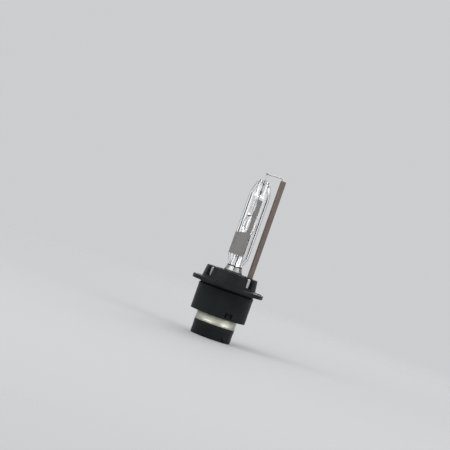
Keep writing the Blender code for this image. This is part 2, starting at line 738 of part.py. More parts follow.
def main():
    build_outer_envelope()
    build_light_shield()
    build_arc_tube()
    build_seal_metal()
    build_return_lead()
    build_lead_fittings()
    build_burner_clamp()
    build_mounting_ring()
    build_base_crown()
    build_base_body()
    build_contact_ring()
    build_connector_socket()
    build_contact_pin()
    build_insulation()


clear_scene()
PARTS = new_collection("headlight_bulb")
CUTTERS = new_collection("cutters")
MATERIALS = make_materials()
main()
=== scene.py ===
"""Looks for the headlight bulb: quartz, metal, ceramic and moulded plastic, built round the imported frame.

Metres, +Z up, in the frame's own coordinates. Heights are counted from the flange's seating plane, which
the record's flange_seat mount gives. A number times MM is given in millimetres.
"""

import json
import math

import bmesh
import bpy
from mathutils import Matrix, Vector, noise


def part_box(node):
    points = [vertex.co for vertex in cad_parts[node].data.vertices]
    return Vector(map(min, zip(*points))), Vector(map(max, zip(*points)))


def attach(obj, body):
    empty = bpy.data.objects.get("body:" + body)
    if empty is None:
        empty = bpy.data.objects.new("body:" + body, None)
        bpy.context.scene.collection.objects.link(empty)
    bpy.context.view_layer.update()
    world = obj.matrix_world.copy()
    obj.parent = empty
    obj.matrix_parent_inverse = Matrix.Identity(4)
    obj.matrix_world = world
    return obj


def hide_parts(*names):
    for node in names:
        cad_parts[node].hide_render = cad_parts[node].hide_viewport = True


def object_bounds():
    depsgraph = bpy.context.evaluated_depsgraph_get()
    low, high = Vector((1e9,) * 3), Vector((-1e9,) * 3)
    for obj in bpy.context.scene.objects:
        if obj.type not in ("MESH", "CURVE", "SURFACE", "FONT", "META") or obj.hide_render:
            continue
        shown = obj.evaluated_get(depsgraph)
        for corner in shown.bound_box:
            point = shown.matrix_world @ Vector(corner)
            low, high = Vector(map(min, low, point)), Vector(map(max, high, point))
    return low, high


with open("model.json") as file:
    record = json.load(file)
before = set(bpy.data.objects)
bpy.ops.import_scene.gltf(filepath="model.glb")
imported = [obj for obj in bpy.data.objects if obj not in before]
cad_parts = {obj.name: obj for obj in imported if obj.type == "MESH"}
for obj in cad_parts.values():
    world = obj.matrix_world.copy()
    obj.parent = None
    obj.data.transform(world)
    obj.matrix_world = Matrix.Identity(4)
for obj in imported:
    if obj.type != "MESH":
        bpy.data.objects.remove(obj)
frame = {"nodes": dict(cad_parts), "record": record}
CAD_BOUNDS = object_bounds()

MM = 0.001
MOUNTS = {mount["name"]: mount for mount in frame["record"]["mounts"]}
SEAT = MOUNTS["flange_seat"]["pos_m"][2]

# Resolution of the round shapes
TURN_STEPS = 128
FINE_STEPS = 64
SMALL_STEPS = 48
WIRE_STEPS = 24
WIRE_SIDES = 6  # a wire curve's bevel resolution
FILLET_STEPS = 4
BROKEN_EDGE_ANGLE = 38  # degrees; sharper edges are broken
ON_AXIS = 1e-7

# Quartz jacket
JACKET_WALL = 1.1 * MM
JACKET_NECK_TOP = 45.4 * MM
JACKET_NECK_RADIUS = 3.25 * MM
JACKET_SHOULDER = 40.6 * MM
JACKET_TAPER = 12.9 * MM
JACKET_FOOT_NECK = 8.8 * MM
JACKET_FOOT_RADIUS = 2.95 * MM
SHOULDER_POWER = 1.3
TAPER_POWER = 1.1
NECK_GAP = 0.04 * MM

# Angles about the axis from +X, in degrees
NOTCH_TURNS = (39, 140, 219, 320)
CLAMP_FIRST_SLOT = 3.25
CLAMP_SLOTS = 8  # a count: they are spread evenly
BOSS_TURNS = (20, 110, 245)
KEYWAYS = ((66, 4.0, 2.4), (135, 2.4, 1.6), (160, 2.4, 1.6))  # turn, and width and depth in millimetres
LATCH_TURN = -65
SEAM_TURN = 100
LUG_TURNS = (-43, 137)
RIB_TURNS = (20, 110, 200, 290)

# Light shield. Angles are in degrees, and the stripes' are counted from the return lead's side.
STRIPE_NEAR = 64.5
STRIPE_FAR = 87.5
SHIELD_OVERREACH = 4.5  # how much nearer to the lead the coating comes on the far side
SHIELD_SLOPE = 12.7  # the climb of the band's upper edge
SHIELD_AXIS_TOP = 23.6 * MM  # that edge's height halfway up its climb
SHIELD_GAP = 0.01 * MM
SHIELD_THICKNESS = 0.06 * MM
SHIELD_COLUMNS = 150
SHIELD_ROWS = 14

# Burner
STEM_RADIUS = 2.2 * MM
STEM_BORE = 0.9 * MM
LIGHT_CENTRE = 27.1 * MM
CHAMBER_HALF_LENGTH = 4.3 * MM
CHAMBER_BORE = 1.5 * MM
CHAMBER_BORE_HALF_LENGTH = 3.7 * MM
SEAL_HALF_THICKNESS = 1.35 * MM
SEAL_FLAT = 0.95 * MM  # half thickness of the pressed flat in the middle of a seal
SEAL_FLAT_HALF_WIDTH = 1.05 * MM
SEAL_STEP = 0.45 * MM
SEAL_SQUARENESS = 0.7  # 0 is an ellipse, 1 a sharp rectangle
SEAL_FAR = 12.9 * MM
SEAL_BLEND = 1.2 * MM
BURNER_RINGS = 170
BURNER_STEPS = 144
BURNER_LIP = 0.25 * MM
CHAMBER_BLEND = 6  # the power with which the chamber's bulge runs into the stem
CHAMBER_STEPS = 36
SALT_BEADS = 26
GOLDEN_TURN = 2.399963  # radians from one bead to the next, which keeps them from lining up
OXIDE_CRUSTS = ((45.5, 0.4, 0.14), (42.1, 0.6, 0.26))  # height, half length and thickness in millimetres

# Return lead
LEAD_RADIUS = 0.33 * MM
LEAD_BEND = 1.5 * MM
LEAD_BEND_STEPS = 12
LEAD_STEPS = 8
LEAD_SAG = 0.28 * MM  # at the weld

# Pressed mounting ring
RING_RADIUS = 6.0 * MM
RING_BORE = 3.3 * MM
RING_SHEET = 0.45 * MM
LEG_OUTER = 10.9 * MM
LEG_BEND = 0.75 * MM
LEG_BEND_STEPS = 6
LEG_HALF_WIDTH = 0.8 * MM
LEG_SKIN = 0.02 * MM  # keeps a leg's faces off the ring's
SPOT_WELDS = 8
SPOT_WELD_CIRCLE = 4.95 * MM
SPOT_WELD_RADIUS = 0.34 * MM
SPOT_WELD_FLATNESS = 0.3

# Camera: where the picture's middle is, seen from the bulb's middle, and how far the bulb leans
VIEW_AZIMUTH = math.radians(4)
VIEW_ROLL = math.radians(19.4)
VIEW_WIDTH = 195.7 * MM
AIM_UP = 10.4 * MM
AIM_RIGHT = -10.0 * MM
LENS = 135.0
SENSOR = 36.0

# Studio: the floor's fade, the room's walls, and the lights as name, place, size and power
FLOOR_REACH = 0.9
FLOOR_FADE = (0.12, 0.6)
BACKDROP_LEVEL = 0.62
CEILING_LEVEL = 0.8
CEILING_RISE = (0.1, 0.7)  # sines of the elevations between which backdrop becomes ceiling
WALL_COLOUR = (0.975, 0.99, 1.0, 1.0)
FLAG_REACH = (0.07, 0.16)  # sines of the elevations between which the panels and flags end
WALL_SCALE = 2.0
# Degrees round the room from +Y towards -X, and half the wall's brightness there
WALLS = (
    (-180, 0.50), (-158, 0.50), (-140, 0.20), (-136, 0.02), (-106, 0.02),
    (-100, 0.45), (-61, 0.45), (-57, 0.01), (-35, 0.01), (-32, 0.60),
    (-21, 0.60), (-17, 0.31), (16, 0.31), (19, 0.60), (39, 0.60),
    (42, 0.01), (64, 0.01), (69, 0.31), (101, 0.31), (105, 0.60),
    (127, 0.60), (131, 0.01), (144, 0.01), (148, 0.55), (180, 0.50),
)
LIGHTS = (
    ("key", (-0.45, -0.55, 0.55), 0.75, 5.0),
    ("fill", (0.6, -0.35, 0.25), 0.5, 1.6),
    ("back", (0.15, 0.7, 0.5), 0.6, 3.0),
)
MAX_BOUNCES = 24
GLOSSY_BOUNCES = 8


# Frame --------------------------------------------------------------------------------------


class Extent:
    """A node's place: heights of its foot and top, its reach along +X, and its middle."""

    def __init__(self, node):
        low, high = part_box(node)
        self.foot, self.top, self.reach = low.z, high.z, high.x
        self.low, self.high = low, high
        self.x, self.y = (low.x + high.x) / 2, (low.y + high.y) / 2
        self.half_width = (high.x - low.x) / 2


def height(value):
    """The Z coordinate of a height above the seating plane."""
    return SEAT + value


def up(millimetres):
    """The Z coordinate of a height above the seating plane, given in millimetres."""
    return height(millimetres * MM)


def clamped(value):
    return min(1.0, max(0.0, value))


def eased_share(value):
    """0 to 1, with a gentle start and end."""
    share = clamped(value)
    return share * share * (3 - 2 * share)


# Mesh helpers -------------------------------------------------------------------------------


def link(name, data):
    obj = bpy.data.objects.new(name, data)
    bpy.context.scene.collection.objects.link(obj)
    return obj


def to_object(name, made, smooth_angle=35):
    """An object from a bmesh, shaded smooth except at edges sharper than smooth_angle degrees."""
    mesh = bpy.data.meshes.new(name)
    made.to_mesh(mesh)
    made.free()
    smooth(mesh, smooth_angle)
    return link(name, mesh)


def smooth(mesh, smooth_angle=35):
    mesh.shade_smooth()
    mesh.set_sharp_from_angle(angle=math.radians(smooth_angle))


def finish_piece(obj, slot, materials, *nodes):
    """Gives a piece its materials, its body and the CAD nodes that it stands for. The slot is not used."""
    obj.data.materials.clear()
    for material in materials:
        obj.data.materials.append(material)
    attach(obj, "root")
    if nodes:
        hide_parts(*nodes)
    return obj


def rounded(points):
    """(radius, z) points from (radius, z) or (radius, z, fillet) ones. A fillet is its tangent's length."""
    outline = []
    count = len(points)
    for i, point in enumerate(points):
        here = Vector(point[:2])
        if len(point) < 3:
            outline.append(tuple(here))
            continue
        before = Vector(points[i - 1][:2]) - here
        after = Vector(points[(i + 1) % count][:2]) - here
        start = here + before.normalized() * min(point[2], before.length * 0.48)
        end = here + after.normalized() * min(point[2], after.length * 0.48)
        for step in range(FILLET_STEPS + 1):
            t = step / FILLET_STEPS
            outline.append(tuple(start * (1 - t) ** 2 + here * (2 * t * (1 - t)) + end * t**2))
    return outline


def bridge(made, first, second):
    """Faces between two rings of vertices. A ring of one vertex is a pole."""
    steps = max(len(first), len(second))
    for i in range(steps):
        after = (i + 1) % steps
        corners = [first[i % len(first)], first[after % len(first)]]
        corners += [second[after % len(second)], second[i % len(second)]]
        corners = list(dict.fromkeys(corners))
        if len(corners) > 2:
            made.faces.new(corners)


def ring_of(made, half_width, half_depth, z, steps, x=0.0):
    if half_width < ON_AXIS:
        return [made.verts.new((x, 0.0, z))]
    turns = [2 * math.pi * i / steps for i in range(steps)]
    return [made.verts.new((x + half_width * math.cos(t), half_depth * math.sin(t), z)) for t in turns]


def add_turned(made, profile, steps, x=0.0):
    """Adds a (radius, z) profile turned about an upright axis at x.

    The profile closes on itself unless it starts on the axis.
    """
    rings = [ring_of(made, radius, radius, z, steps, x) for radius, z in profile]
    for first, second in zip(rings, rings[1:]):
        bridge(made, first, second)
    if profile[0][0] >= ON_AXIS:
        bridge(made, rings[-1], rings[0])


def turned(name, profile, steps=TURN_STEPS, x=0.0, smooth_angle=35):
    made = bmesh.new()
    add_turned(made, profile, steps, x)
    bmesh.ops.recalc_face_normals(made, faces=made.faces)
    return to_object(name, made, smooth_angle)


def block(name, low, high, turn=0.0):
    """A plain box used to cut or to join, turned about Z by `turn` degrees."""
    low, high = Vector(low), Vector(high)
    made = bmesh.new()
    bmesh.ops.create_cube(made, size=1.0)
    size, middle = high - low, (high + low) / 2
    place = Matrix.Rotation(math.radians(turn), 4, "Z") @ Matrix.Translation(middle)
    bmesh.ops.transform(made, matrix=place @ Matrix.Diagonal((*size, 1.0)), verts=made.verts)
    return to_object(name, made)


def combine(obj, tool, operation="DIFFERENCE"):
    modifier = obj.modifiers.new(tool.name, "BOOLEAN")
    modifier.operation = operation
    modifier.solver = "EXACT"
    modifier.object = tool


def around(obj, kind, turns, low, high, operation="DIFFERENCE"):
    """Cuts or joins the same block at several turns about the axis, in degrees."""
    for turn in turns:
        combine(obj, block(f"{kind}_{turn}", low, high, turn), operation)


def break_edges(obj, width):
    bevel = obj.modifiers.new("broken_edges", "BEVEL")
    bevel.width = width
    bevel.segments = 2
    bevel.limit_method = "ANGLE"
    bevel.angle_limit = math.radians(BROKEN_EDGE_ANGLE)
    bevel.use_clamp_overlap = True


def settle(obj, smooth_angle=35):
    """Applies the modifiers, and removes the objects that they used."""
    tools = [m.object for m in obj.modifiers if m.type == "BOOLEAN"]
    graph = bpy.context.evaluated_depsgraph_get()
    mesh = bpy.data.meshes.new_from_object(obj.evaluated_get(graph))
    old = obj.data
    obj.modifiers.clear()
    obj.data = mesh
    bpy.data.meshes.remove(old)
    for tool in tools:
        bpy.data.objects.remove(tool, do_unlink=True)
    smooth(mesh, smooth_angle)
    return obj


def wire(name, route, radius):
    """A round wire along a route of points."""
    curve = bpy.data.curves.new(name, "CURVE")
    curve.dimensions = "3D"
    curve.bevel_depth = radius
    curve.bevel_resolution = WIRE_SIDES
    curve.use_fill_caps = True
    spline = curve.splines.new("POLY")
    spline.points.add(len(route) - 1)
    for point, place in zip(spline.points, route):
        point.co = (*place, 1.0)
    spline.use_smooth = True
    return link(name, curve)


# Material helpers ---------------------------------------------------------------------------


class Nodes:
    """The node tree of a material or a world, with short calls for what is added to it."""

    def __init__(self, owner):
        owner.use_nodes = True
        self.tree = owner.node_tree

    def node(self, kind, **settings):
        made = self.tree.nodes.new(kind)
        for key, value in settings.items():
            setattr(made, key, value)
        return made

    def wire(self, output, target):
        self.tree.links.new(output, target)

    def feed(self, target, value):
        """Wires an output to a socket, or sets the socket to a colour or a number."""
        if isinstance(value, bpy.types.NodeSocket):
            self.wire(value, target)
        else:
            target.default_value = (*value, 1.0) if hasattr(value, "__len__") else value

    def maths(self, operation, first, second=0.0):
        made = self.node("ShaderNodeMath", operation=operation)
        self.feed(made.inputs[0], first)
        self.feed(made.inputs[1], second)
        return made.outputs[0]

    def ramp(self, value, stops):
        """Maps 0..1 to grey levels or colours. stops are (position, grey or colour)."""
        made = self.node("ShaderNodeValToRGB")
        elements = made.color_ramp.elements
        while len(elements) < len(stops):
            elements.new(0.5)
        for element, (position, colour) in zip(elements, stops):
            element.position = position
            grey = not hasattr(colour, "__len__")
            element.color = (colour, colour, colour, 1.0) if grey else (*colour, 1.0)
        self.wire(value, made.inputs["Fac"])
        return made.outputs["Color"]

    def fade(self, value, low, high, to_low=0.0, to_high=1.0, kind="SMOOTHSTEP"):
        """Goes softly from to_low to to_high while value goes from low to high."""
        made = self.node("ShaderNodeMapRange", interpolation_type=kind)
        for key, setting in (("From Min", low), ("From Max", high), ("To Min", to_low), ("To Max", to_high)):
            made.inputs[key].default_value = setting
        self.wire(value, made.inputs["Value"])
        return made.outputs["Result"]

    def split(self, vector):
        """The X, Y and Z of a vector, by name."""
        made = self.node("ShaderNodeSeparateXYZ")
        self.wire(vector, made.inputs[0])
        return made.outputs


class Surface(Nodes):
    """A Principled material."""

    def __init__(self, name, colour, roughness, metallic=0.0):
        self.material = bpy.data.materials.new(name)
        super().__init__(self.material)
        self.shader = self.tree.nodes["Principled BSDF"]
        self.set("Base Color", (*colour, 1.0))
        self.set("Roughness", roughness)
        self.set("Metallic", metallic)

    def set(self, socket, value):
        self.shader.inputs[socket].default_value = value

    def colour_from(self, output):
        self.wire(output, self.shader.inputs["Base Color"])

    def roughness_from(self, output):
        self.wire(output, self.shader.inputs["Roughness"])

    def place(self, scale=(1.0, 1.0, 1.0)):
        """The point's place in millimetres, stretched by scale."""
        where = self.node("ShaderNodeTexCoord")
        mapping = self.node("ShaderNodeMapping")
        mapping.inputs["Scale"].default_value = [s / MM for s in scale]
        self.wire(where.outputs["Object"], mapping.inputs["Vector"])
        return mapping.outputs["Vector"]

    def noise(self, per_mm, detail=3.0, roughness=0.55, stretch=(1.0, 1.0, 1.0)):
        made = self.node("ShaderNodeTexNoise")
        made.inputs["Scale"].default_value = per_mm
        made.inputs["Detail"].default_value = detail
        made.inputs["Roughness"].default_value = roughness
        self.wire(self.place(stretch), made.inputs["Vector"])
        return made.outputs["Fac"]

    def mix(self, share, first, second):
        """A colour mix. share, first and second are outputs or plain values."""
        made = self.node("ShaderNodeMix", data_type="RGBA")
        for socket, value in ((0, share), (6, first), (7, second)):
            self.feed(made.inputs[socket], value)
        return made.outputs[2]

    def height_above_seat(self):
        """The point's height above the seating plane, in millimetres."""
        return self.maths("SUBTRACT", self.split(self.place())["Z"], SEAT / MM)

    def edge_wear(self, reach):
        """1 on edges and 0 on flats, from how far a rounded normal leans away from the true one."""
        soft = self.node("ShaderNodeBevel", samples=6)
        soft.inputs["Radius"].default_value = reach
        flat = self.node("ShaderNodeNewGeometry")
        dot = self.node("ShaderNodeVectorMath", operation="DOT_PRODUCT")
        self.wire(soft.outputs["Normal"], dot.inputs[0])
        self.wire(flat.outputs["Normal"], dot.inputs[1])
        return self.maths("SUBTRACT", 1.0, dot.outputs["Value"])

    def bump(self, value, distance, strength=1.0):
        """Adds relief on top of any relief that is there already."""
        made = self.node("ShaderNodeBump")
        made.inputs["Distance"].default_value = distance
        made.inputs["Strength"].default_value = strength
        self.wire(value, made.inputs["Height"])
        chained = self.shader.inputs["Normal"].links
        if chained:
            self.wire(chained[0].from_socket, made.inputs["Normal"])
        self.wire(made.outputs["Normal"], self.shader.inputs["Normal"])


# Materials ----------------------------------------------------------------------------------


def quartz_material(name, tint, absorption):
    """Clear fused quartz: drawn streaks along it, a painted dark outline where the surface turns edge-on to
    the view, and a faint grey where it is thick.
    """
    surface = Surface(name, (1.0, 1.0, 1.0), 0.0)
    surface.set("Transmission Weight", 1.0)
    surface.set("IOR", 1.458)
    surface.bump(surface.noise(0.9, 2.0, 0.5, (1.0, 1.0, 0.08)), 0.02 * MM, 0.5)
    # painted shade: the base colour goes near black where the surface turns edge-on to the view, a painted
    # dark outline on the glass
    lean = surface.node("ShaderNodeLayerWeight").outputs["Facing"]
    edge = surface.ramp(lean, [(0.48, (1.0, 1.0, 1.0)), (0.74, (0.05, 0.055, 0.06))])
    surface.colour_from(edge)
    absorb = surface.node("ShaderNodeVolumeAbsorption")
    absorb.inputs["Color"].default_value = (*tint, 1.0)
    absorb.inputs["Density"].default_value = absorption
    output = surface.tree.nodes["Material Output"]
    surface.wire(absorb.outputs["Volume"], output.inputs["Volume"])
    return surface.material


def coating_material(name, colour, roughness):
    """Baked shield paint: matt, mottled, with an orange-peel skin and fine specks."""
    surface = Surface(name, colour, roughness)
    mottled = surface.ramp(
        surface.noise(1.3, 5.0, 0.65),
        [(0.3, [c * 0.78 for c in colour]), (0.7, [min(1.0, c * 1.2) for c in colour])],
    )
    specks = surface.ramp(surface.noise(9.0, 2.0, 0.5), [(0.70, 0.0), (0.76, 1.0)])
    surface.colour_from(surface.mix(specks, mottled, [c * 0.5 for c in colour]))
    polish = [(0.3, roughness * 0.85), (0.7, min(1.0, roughness * 1.1))]
    surface.roughness_from(surface.ramp(surface.noise(2.2, 3.0), polish))
    surface.bump(surface.noise(7.0, 4.0, 0.6), 0.012 * MM)
    return surface.material


def metal_material(name, colour, roughness, grain=(1.0, 1.0, 1.0), tint=None, scratches=0.35):
    """Bare metal: grain that runs one way, uneven polish and light smudges. tint is a tarnish colour."""
    surface = Surface(name, colour, roughness, 1.0)
    tarnish = tint or [c * 0.72 for c in colour]
    smudge = surface.ramp(surface.noise(0.55, 4.0, 0.6), [(0.42, 0.0), (0.72, 0.75)])
    surface.colour_from(surface.mix(smudge, colour, tarnish))
    lines = surface.noise(6.0, 3.0, 0.6, grain)
    polish = surface.ramp(lines, [(0.25, roughness * 0.7), (0.75, min(1.0, roughness * 1.45))])
    surface.roughness_from(polish)
    surface.bump(lines, 0.004 * MM, scratches)
    return surface.material


def clamp_material():
    """Bright pressed steel, near black beside its slots and in a band at its top edge, and near black at its
    foot as painted shadow where it stands on the crown.
    """
    surface = Surface("clamp_steel", (0.6, 0.61, 0.6), 0.26, 1.0)
    place = surface.split(surface.place())
    azimuth = surface.maths("ARCTAN2", place["Y"], place["X"])
    turn = surface.maths("SUBTRACT", azimuth, math.radians(CLAMP_FIRST_SLOT))
    wave = surface.maths("COSINE", surface.maths("MULTIPLY", turn, float(CLAMP_SLOTS)))
    slots = surface.ramp(wave, [(0.9, 0.0), (0.975, 1.0)])
    above = surface.height_above_seat()
    high = surface.ramp(surface.maths("SUBTRACT", above, 6.3), [(0.0, 0.0), (0.4, 1.0)])
    lip = surface.ramp(surface.maths("SUBTRACT", above, 7.5), [(0.32, 0.0), (0.42, 1.0)])
    # painted shadow: a near-black band at the foot, where the collar stands on the crown
    foot = surface.ramp(surface.maths("SUBTRACT", above, 5.5), [(0.35, 0.9), (0.55, 0.0)])
    ends = surface.maths("MAXIMUM", lip, foot)
    # near black beside the slots and at the top edge, and painted shadow at the foot
    dark_bands_and_foot_shade = surface.maths("MAXIMUM", surface.maths("MULTIPLY", slots, high), ends)
    smudge = surface.ramp(surface.noise(0.7, 4.0, 0.6), [(0.45, 0.0), (0.7, 0.6)])
    bare = surface.mix(smudge, (0.36, 0.365, 0.36), (0.24, 0.24, 0.23))
    surface.colour_from(surface.mix(dark_bands_and_foot_shade, bare, (0.035, 0.03, 0.028)))
    lines = surface.noise(5.0, 3.0, 0.6, (1.0, 1.0, 4.0))
    polish = surface.ramp(lines, [(0.25, 0.34), (0.75, 0.52)])
    surface.roughness_from(surface.mix(dark_bands_and_foot_shade, polish, (0.65, 0.65, 0.65)))
    surface.bump(lines, 0.006 * MM, 0.5)
    return surface.material


def foil_material():
    """Bright rolled molybdenum foil, near black along its feather edges."""
    surface = Surface("sealing_foil", (0.78, 0.78, 0.79), 0.22, 1.0)
    across = surface.maths("ABSOLUTE", surface.split(surface.place())["X"])
    # the colour goes near black in a band along each long edge
    edge = surface.ramp(across, [(0.70, 0.0), (0.78, 1.0)])
    smudge = surface.ramp(surface.noise(0.8, 4.0, 0.6, (1.0, 1.0, 0.5)), [(0.4, 0.0), (0.75, 0.5)])
    bright = surface.mix(smudge, (0.80, 0.80, 0.80), (0.5, 0.49, 0.5))
    surface.colour_from(surface.mix(edge, bright, (0.02, 0.02, 0.022)))
    lines = surface.noise(5.0, 3.0, 0.6, (4.0, 4.0, 0.3))
    surface.roughness_from(surface.ramp(lines, [(0.3, 0.16), (0.7, 0.34)]))
    surface.bump(lines, 0.005 * MM, 0.5)
    return surface.material


def contact_material():
    """Plated brass-coloured band with painted shade: dark at the top under the body's overhang, bright lower
    down, and darker again near its foot.
    """
    surface = Surface("contact_band", (0.5, 0.495, 0.45), 0.32, 1.0)
    # painted shade: the colour runs from dark under the body to bright a few millimetres lower
    down = surface.maths("SUBTRACT", -14.6, surface.height_above_seat())
    painted_shade_depth = surface.maths("DIVIDE", down, 4.0)
    uneven = surface.maths("MULTIPLY", surface.maths("SUBTRACT", surface.noise(0.4, 4.0), 0.5), 0.5)
    stops = [(0.05, 0.0), (0.5, 1.0), (0.75, 0.9), (0.95, 0.4)]
    share = surface.ramp(surface.maths("ADD", painted_shade_depth, uneven), stops)
    surface.colour_from(surface.mix(share, (0.24, 0.235, 0.19), (0.58, 0.57, 0.5)))
    lines = surface.noise(5.0, 3.0, 0.6, (0.4, 0.4, 5.0))
    surface.roughness_from(surface.ramp(lines, [(0.25, 0.34), (0.75, 0.5)]))
    surface.bump(lines, 0.004 * MM, 0.4)
    return surface.material


def lead_in_material():
    """Molybdenum wire: bright where it is in the open, and oxidised black where it leaves the seals."""
    surface = Surface("lead_in_wire", (0.5, 0.5, 0.52), 0.32, 1.0)
    reach = 60
    share = surface.maths("DIVIDE", surface.height_above_seat(), float(reach))
    stops = [(0.0, 1.0), (13.4, 1.0), (14.6, 0.4), (40.9, 0.0), (41.4, 1.0), (42.5, 1.0), (42.9, 0.25)]
    stops += [(44.9, 0.25), (45.2, 0.9), (45.7, 0.9), (46.1, 0.0)]
    oxide = surface.ramp(share, [(at / reach, amount) for at, amount in stops])
    patchy = surface.ramp(surface.noise(1.6, 3.0), [(0.3, 0.9), (0.7, 1.0)])
    black = surface.mix(surface.maths("MULTIPLY", oxide, patchy), (0.5, 0.5, 0.52), (0.012, 0.012, 0.013))
    surface.colour_from(black)
    surface.roughness_from(surface.ramp(oxide, [(0.0, 0.3), (1.0, 0.6)]))
    surface.bump(surface.noise(9.0, 3.0, 0.6, (0.3, 0.3, 1.0)), 0.004 * MM, 0.5)
    return surface.material


def nickel_lead_material():
    """The return lead: drawn nickel, heat-tinted straw and blue next to the weld."""
    surface = Surface("nickel_wire", (0.72, 0.70, 0.66), 0.28, 1.0)
    from_weld = surface.maths("MULTIPLY", surface.split(surface.place())["X"], 0.4)
    near_weld = surface.maths("SUBTRACT", 1.0, from_weld)
    heat = surface.ramp(near_weld, [(0.0, 0.0), (0.45, 0.4), (1.0, 1.0)])
    tints = surface.ramp(
        surface.noise(1.1, 2.0),
        [(0.3, (0.36, 0.30, 0.27)), (0.55, (0.42, 0.36, 0.26)), (0.75, (0.26, 0.29, 0.36))],
    )
    surface.colour_from(surface.mix(heat, (0.58, 0.57, 0.54), tints))
    surface.roughness_from(surface.ramp(surface.noise(5.0, 3.0), [(0.3, 0.2), (0.75, 0.42)]))
    surface.bump(surface.noise(14.0, 2.0, 0.5, (0.2, 1.0, 0.2)), 0.004 * MM, 0.5)
    return surface.material


def ceramic_material():
    """Unglazed extruded ceramic: warm grey-brown, clouded along its length, with fine pits."""
    surface = Surface("ceramic", (0.135, 0.118, 0.112), 0.55)
    clouds = surface.ramp(
        surface.noise(0.5, 4.0, 0.6, (1.0, 1.0, 0.35)),
        [(0.3, (0.092, 0.077, 0.069)), (0.55, (0.125, 0.088, 0.077)), (0.75, (0.17, 0.112, 0.095))],
    )
    pits = surface.ramp(surface.noise(8.0, 2.0, 0.5), [(0.66, 0.0), (0.72, 1.0)])
    surface.colour_from(surface.mix(pits, clouds, (0.06, 0.055, 0.055)))
    surface.roughness_from(surface.ramp(surface.noise(2.5, 3.0), [(0.3, 0.42), (0.7, 0.62)]))
    surface.bump(surface.noise(11.0, 4.0, 0.6), 0.01 * MM, 0.8)
    surface.bump(surface.noise(1.2, 2.0, 0.5, (2.0, 2.0, 0.05)), 0.02 * MM, 0.4)
    return surface.material


def plastic_material(name, colour=(0.0095, 0.0113, 0.0118), roughness=0.5):
    """Black glass-filled moulding: eroded mould texture, flow marks, and paler edges, partly rubbed wear and
    partly a painted highlight.
    """
    surface = Surface(name, colour, roughness)
    surface.set("Specular IOR Level", 0.12)
    flow = surface.ramp(
        surface.noise(0.16, 4.0, 0.6, (1.0, 1.0, 0.6)),
        [(0.3, [c * 0.75 for c in colour]), (0.7, [c * 1.35 for c in colour])],
    )
    fibres = surface.ramp(surface.noise(10.0, 2.0, 0.5, (1.0, 1.0, 0.25)), [(0.62, 0.0), (0.74, 0.35)])
    body = surface.mix(fibres, flow, [c * 2.4 for c in colour])
    # paler edges: rubbed wear plus a painted highlight along every edge
    worn_and_highlit_edges = surface.ramp(surface.edge_wear(0.12 * MM), [(0.02, 0.0), (0.22, 0.55)])
    surface.colour_from(surface.mix(worn_and_highlit_edges, body, (0.035, 0.038, 0.04)))
    polish = [(0.3, roughness * 0.85), (0.7, roughness * 1.2)]
    surface.roughness_from(surface.ramp(surface.noise(0.7, 4.0, 0.6), polish))
    surface.bump(surface.noise(5.5, 4.0, 0.65), 0.018 * MM, 0.7)
    return surface.material


def silicone_material():
    """Translucent cast silicone, faintly clouded."""
    surface = Surface("silicone", (0.55, 0.53, 0.49), 0.6)
    cloud = surface.ramp(surface.noise(0.4, 4.0), [(0.3, (0.48, 0.46, 0.42)), (0.7, (0.6, 0.58, 0.54))])
    surface.colour_from(cloud)
    surface.set("Subsurface Weight", 0.15)
    surface.set("Subsurface Radius", (1.0 * MM, 0.8 * MM, 0.6 * MM))
    surface.bump(surface.noise(1.5, 3.0), 0.03 * MM, 0.5)
    return surface.material


def salt_material():
    """Metal-halide salts condensed on the chamber wall: yellow-green, glassy."""
    surface = Surface("halide_salts", (0.62, 0.60, 0.22), 0.25)
    surface.set("Transmission Weight", 0.35)
    tone = surface.ramp(surface.noise(3.0, 3.0), [(0.3, (0.42, 0.44, 0.14)), (0.7, (0.75, 0.70, 0.32))])
    surface.colour_from(tone)
    surface.bump(surface.noise(9.0, 3.0), 0.02 * MM)
    return surface.material


# Glass pieces -------------------------------------------------------------------------------


def eased(start, end, power, count=18):
    """(radius, z) points from start to end. The curve leaves start upright."""
    shares = [i / count for i in range(count + 1)]
    return [(start[0] + (end[0] - start[0]) * s**power, start[1] + (end[1] - start[1]) * s) for s in shares]


def make_jacket(quartz):
    """The outer tube, drawn in to a neck at each end and fused round the burner's stems."""
    node = Extent("outer_envelope")
    radius, inner = node.reach, node.reach - JACKET_WALL
    bore = STEM_RADIUS + NECK_GAP
    neck_top, shoulder = height(JACKET_NECK_TOP), height(JACKET_SHOULDER)
    taper, foot_neck = height(JACKET_TAPER), height(JACKET_FOOT_NECK)
    outline = [(bore, node.top, 0.1 * MM), (JACKET_NECK_RADIUS, node.top, 0.55 * MM)]
    outline += [(JACKET_NECK_RADIUS, neck_top, 0.3 * MM)]
    outline += eased((radius, shoulder), (JACKET_NECK_RADIUS, neck_top + 0.05 * MM), SHOULDER_POWER)[-2::-1]
    outline += eased((radius, taper), (JACKET_FOOT_RADIUS, foot_neck), TAPER_POWER)
    outline += [(JACKET_FOOT_RADIUS, node.foot, 0.4 * MM), (bore, node.foot, 0.1 * MM)]
    outline += eased((inner, taper), (bore, foot_neck + JACKET_WALL / 2), TAPER_POWER)[::-1]
    outline += eased((inner, shoulder), (bore, neck_top - JACKET_WALL / 2), SHOULDER_POWER)
    jacket = turned("quartz_jacket", rounded(outline), TURN_STEPS, smooth_angle=60)
    finish_piece(jacket, "quartz", [quartz], "outer_envelope")


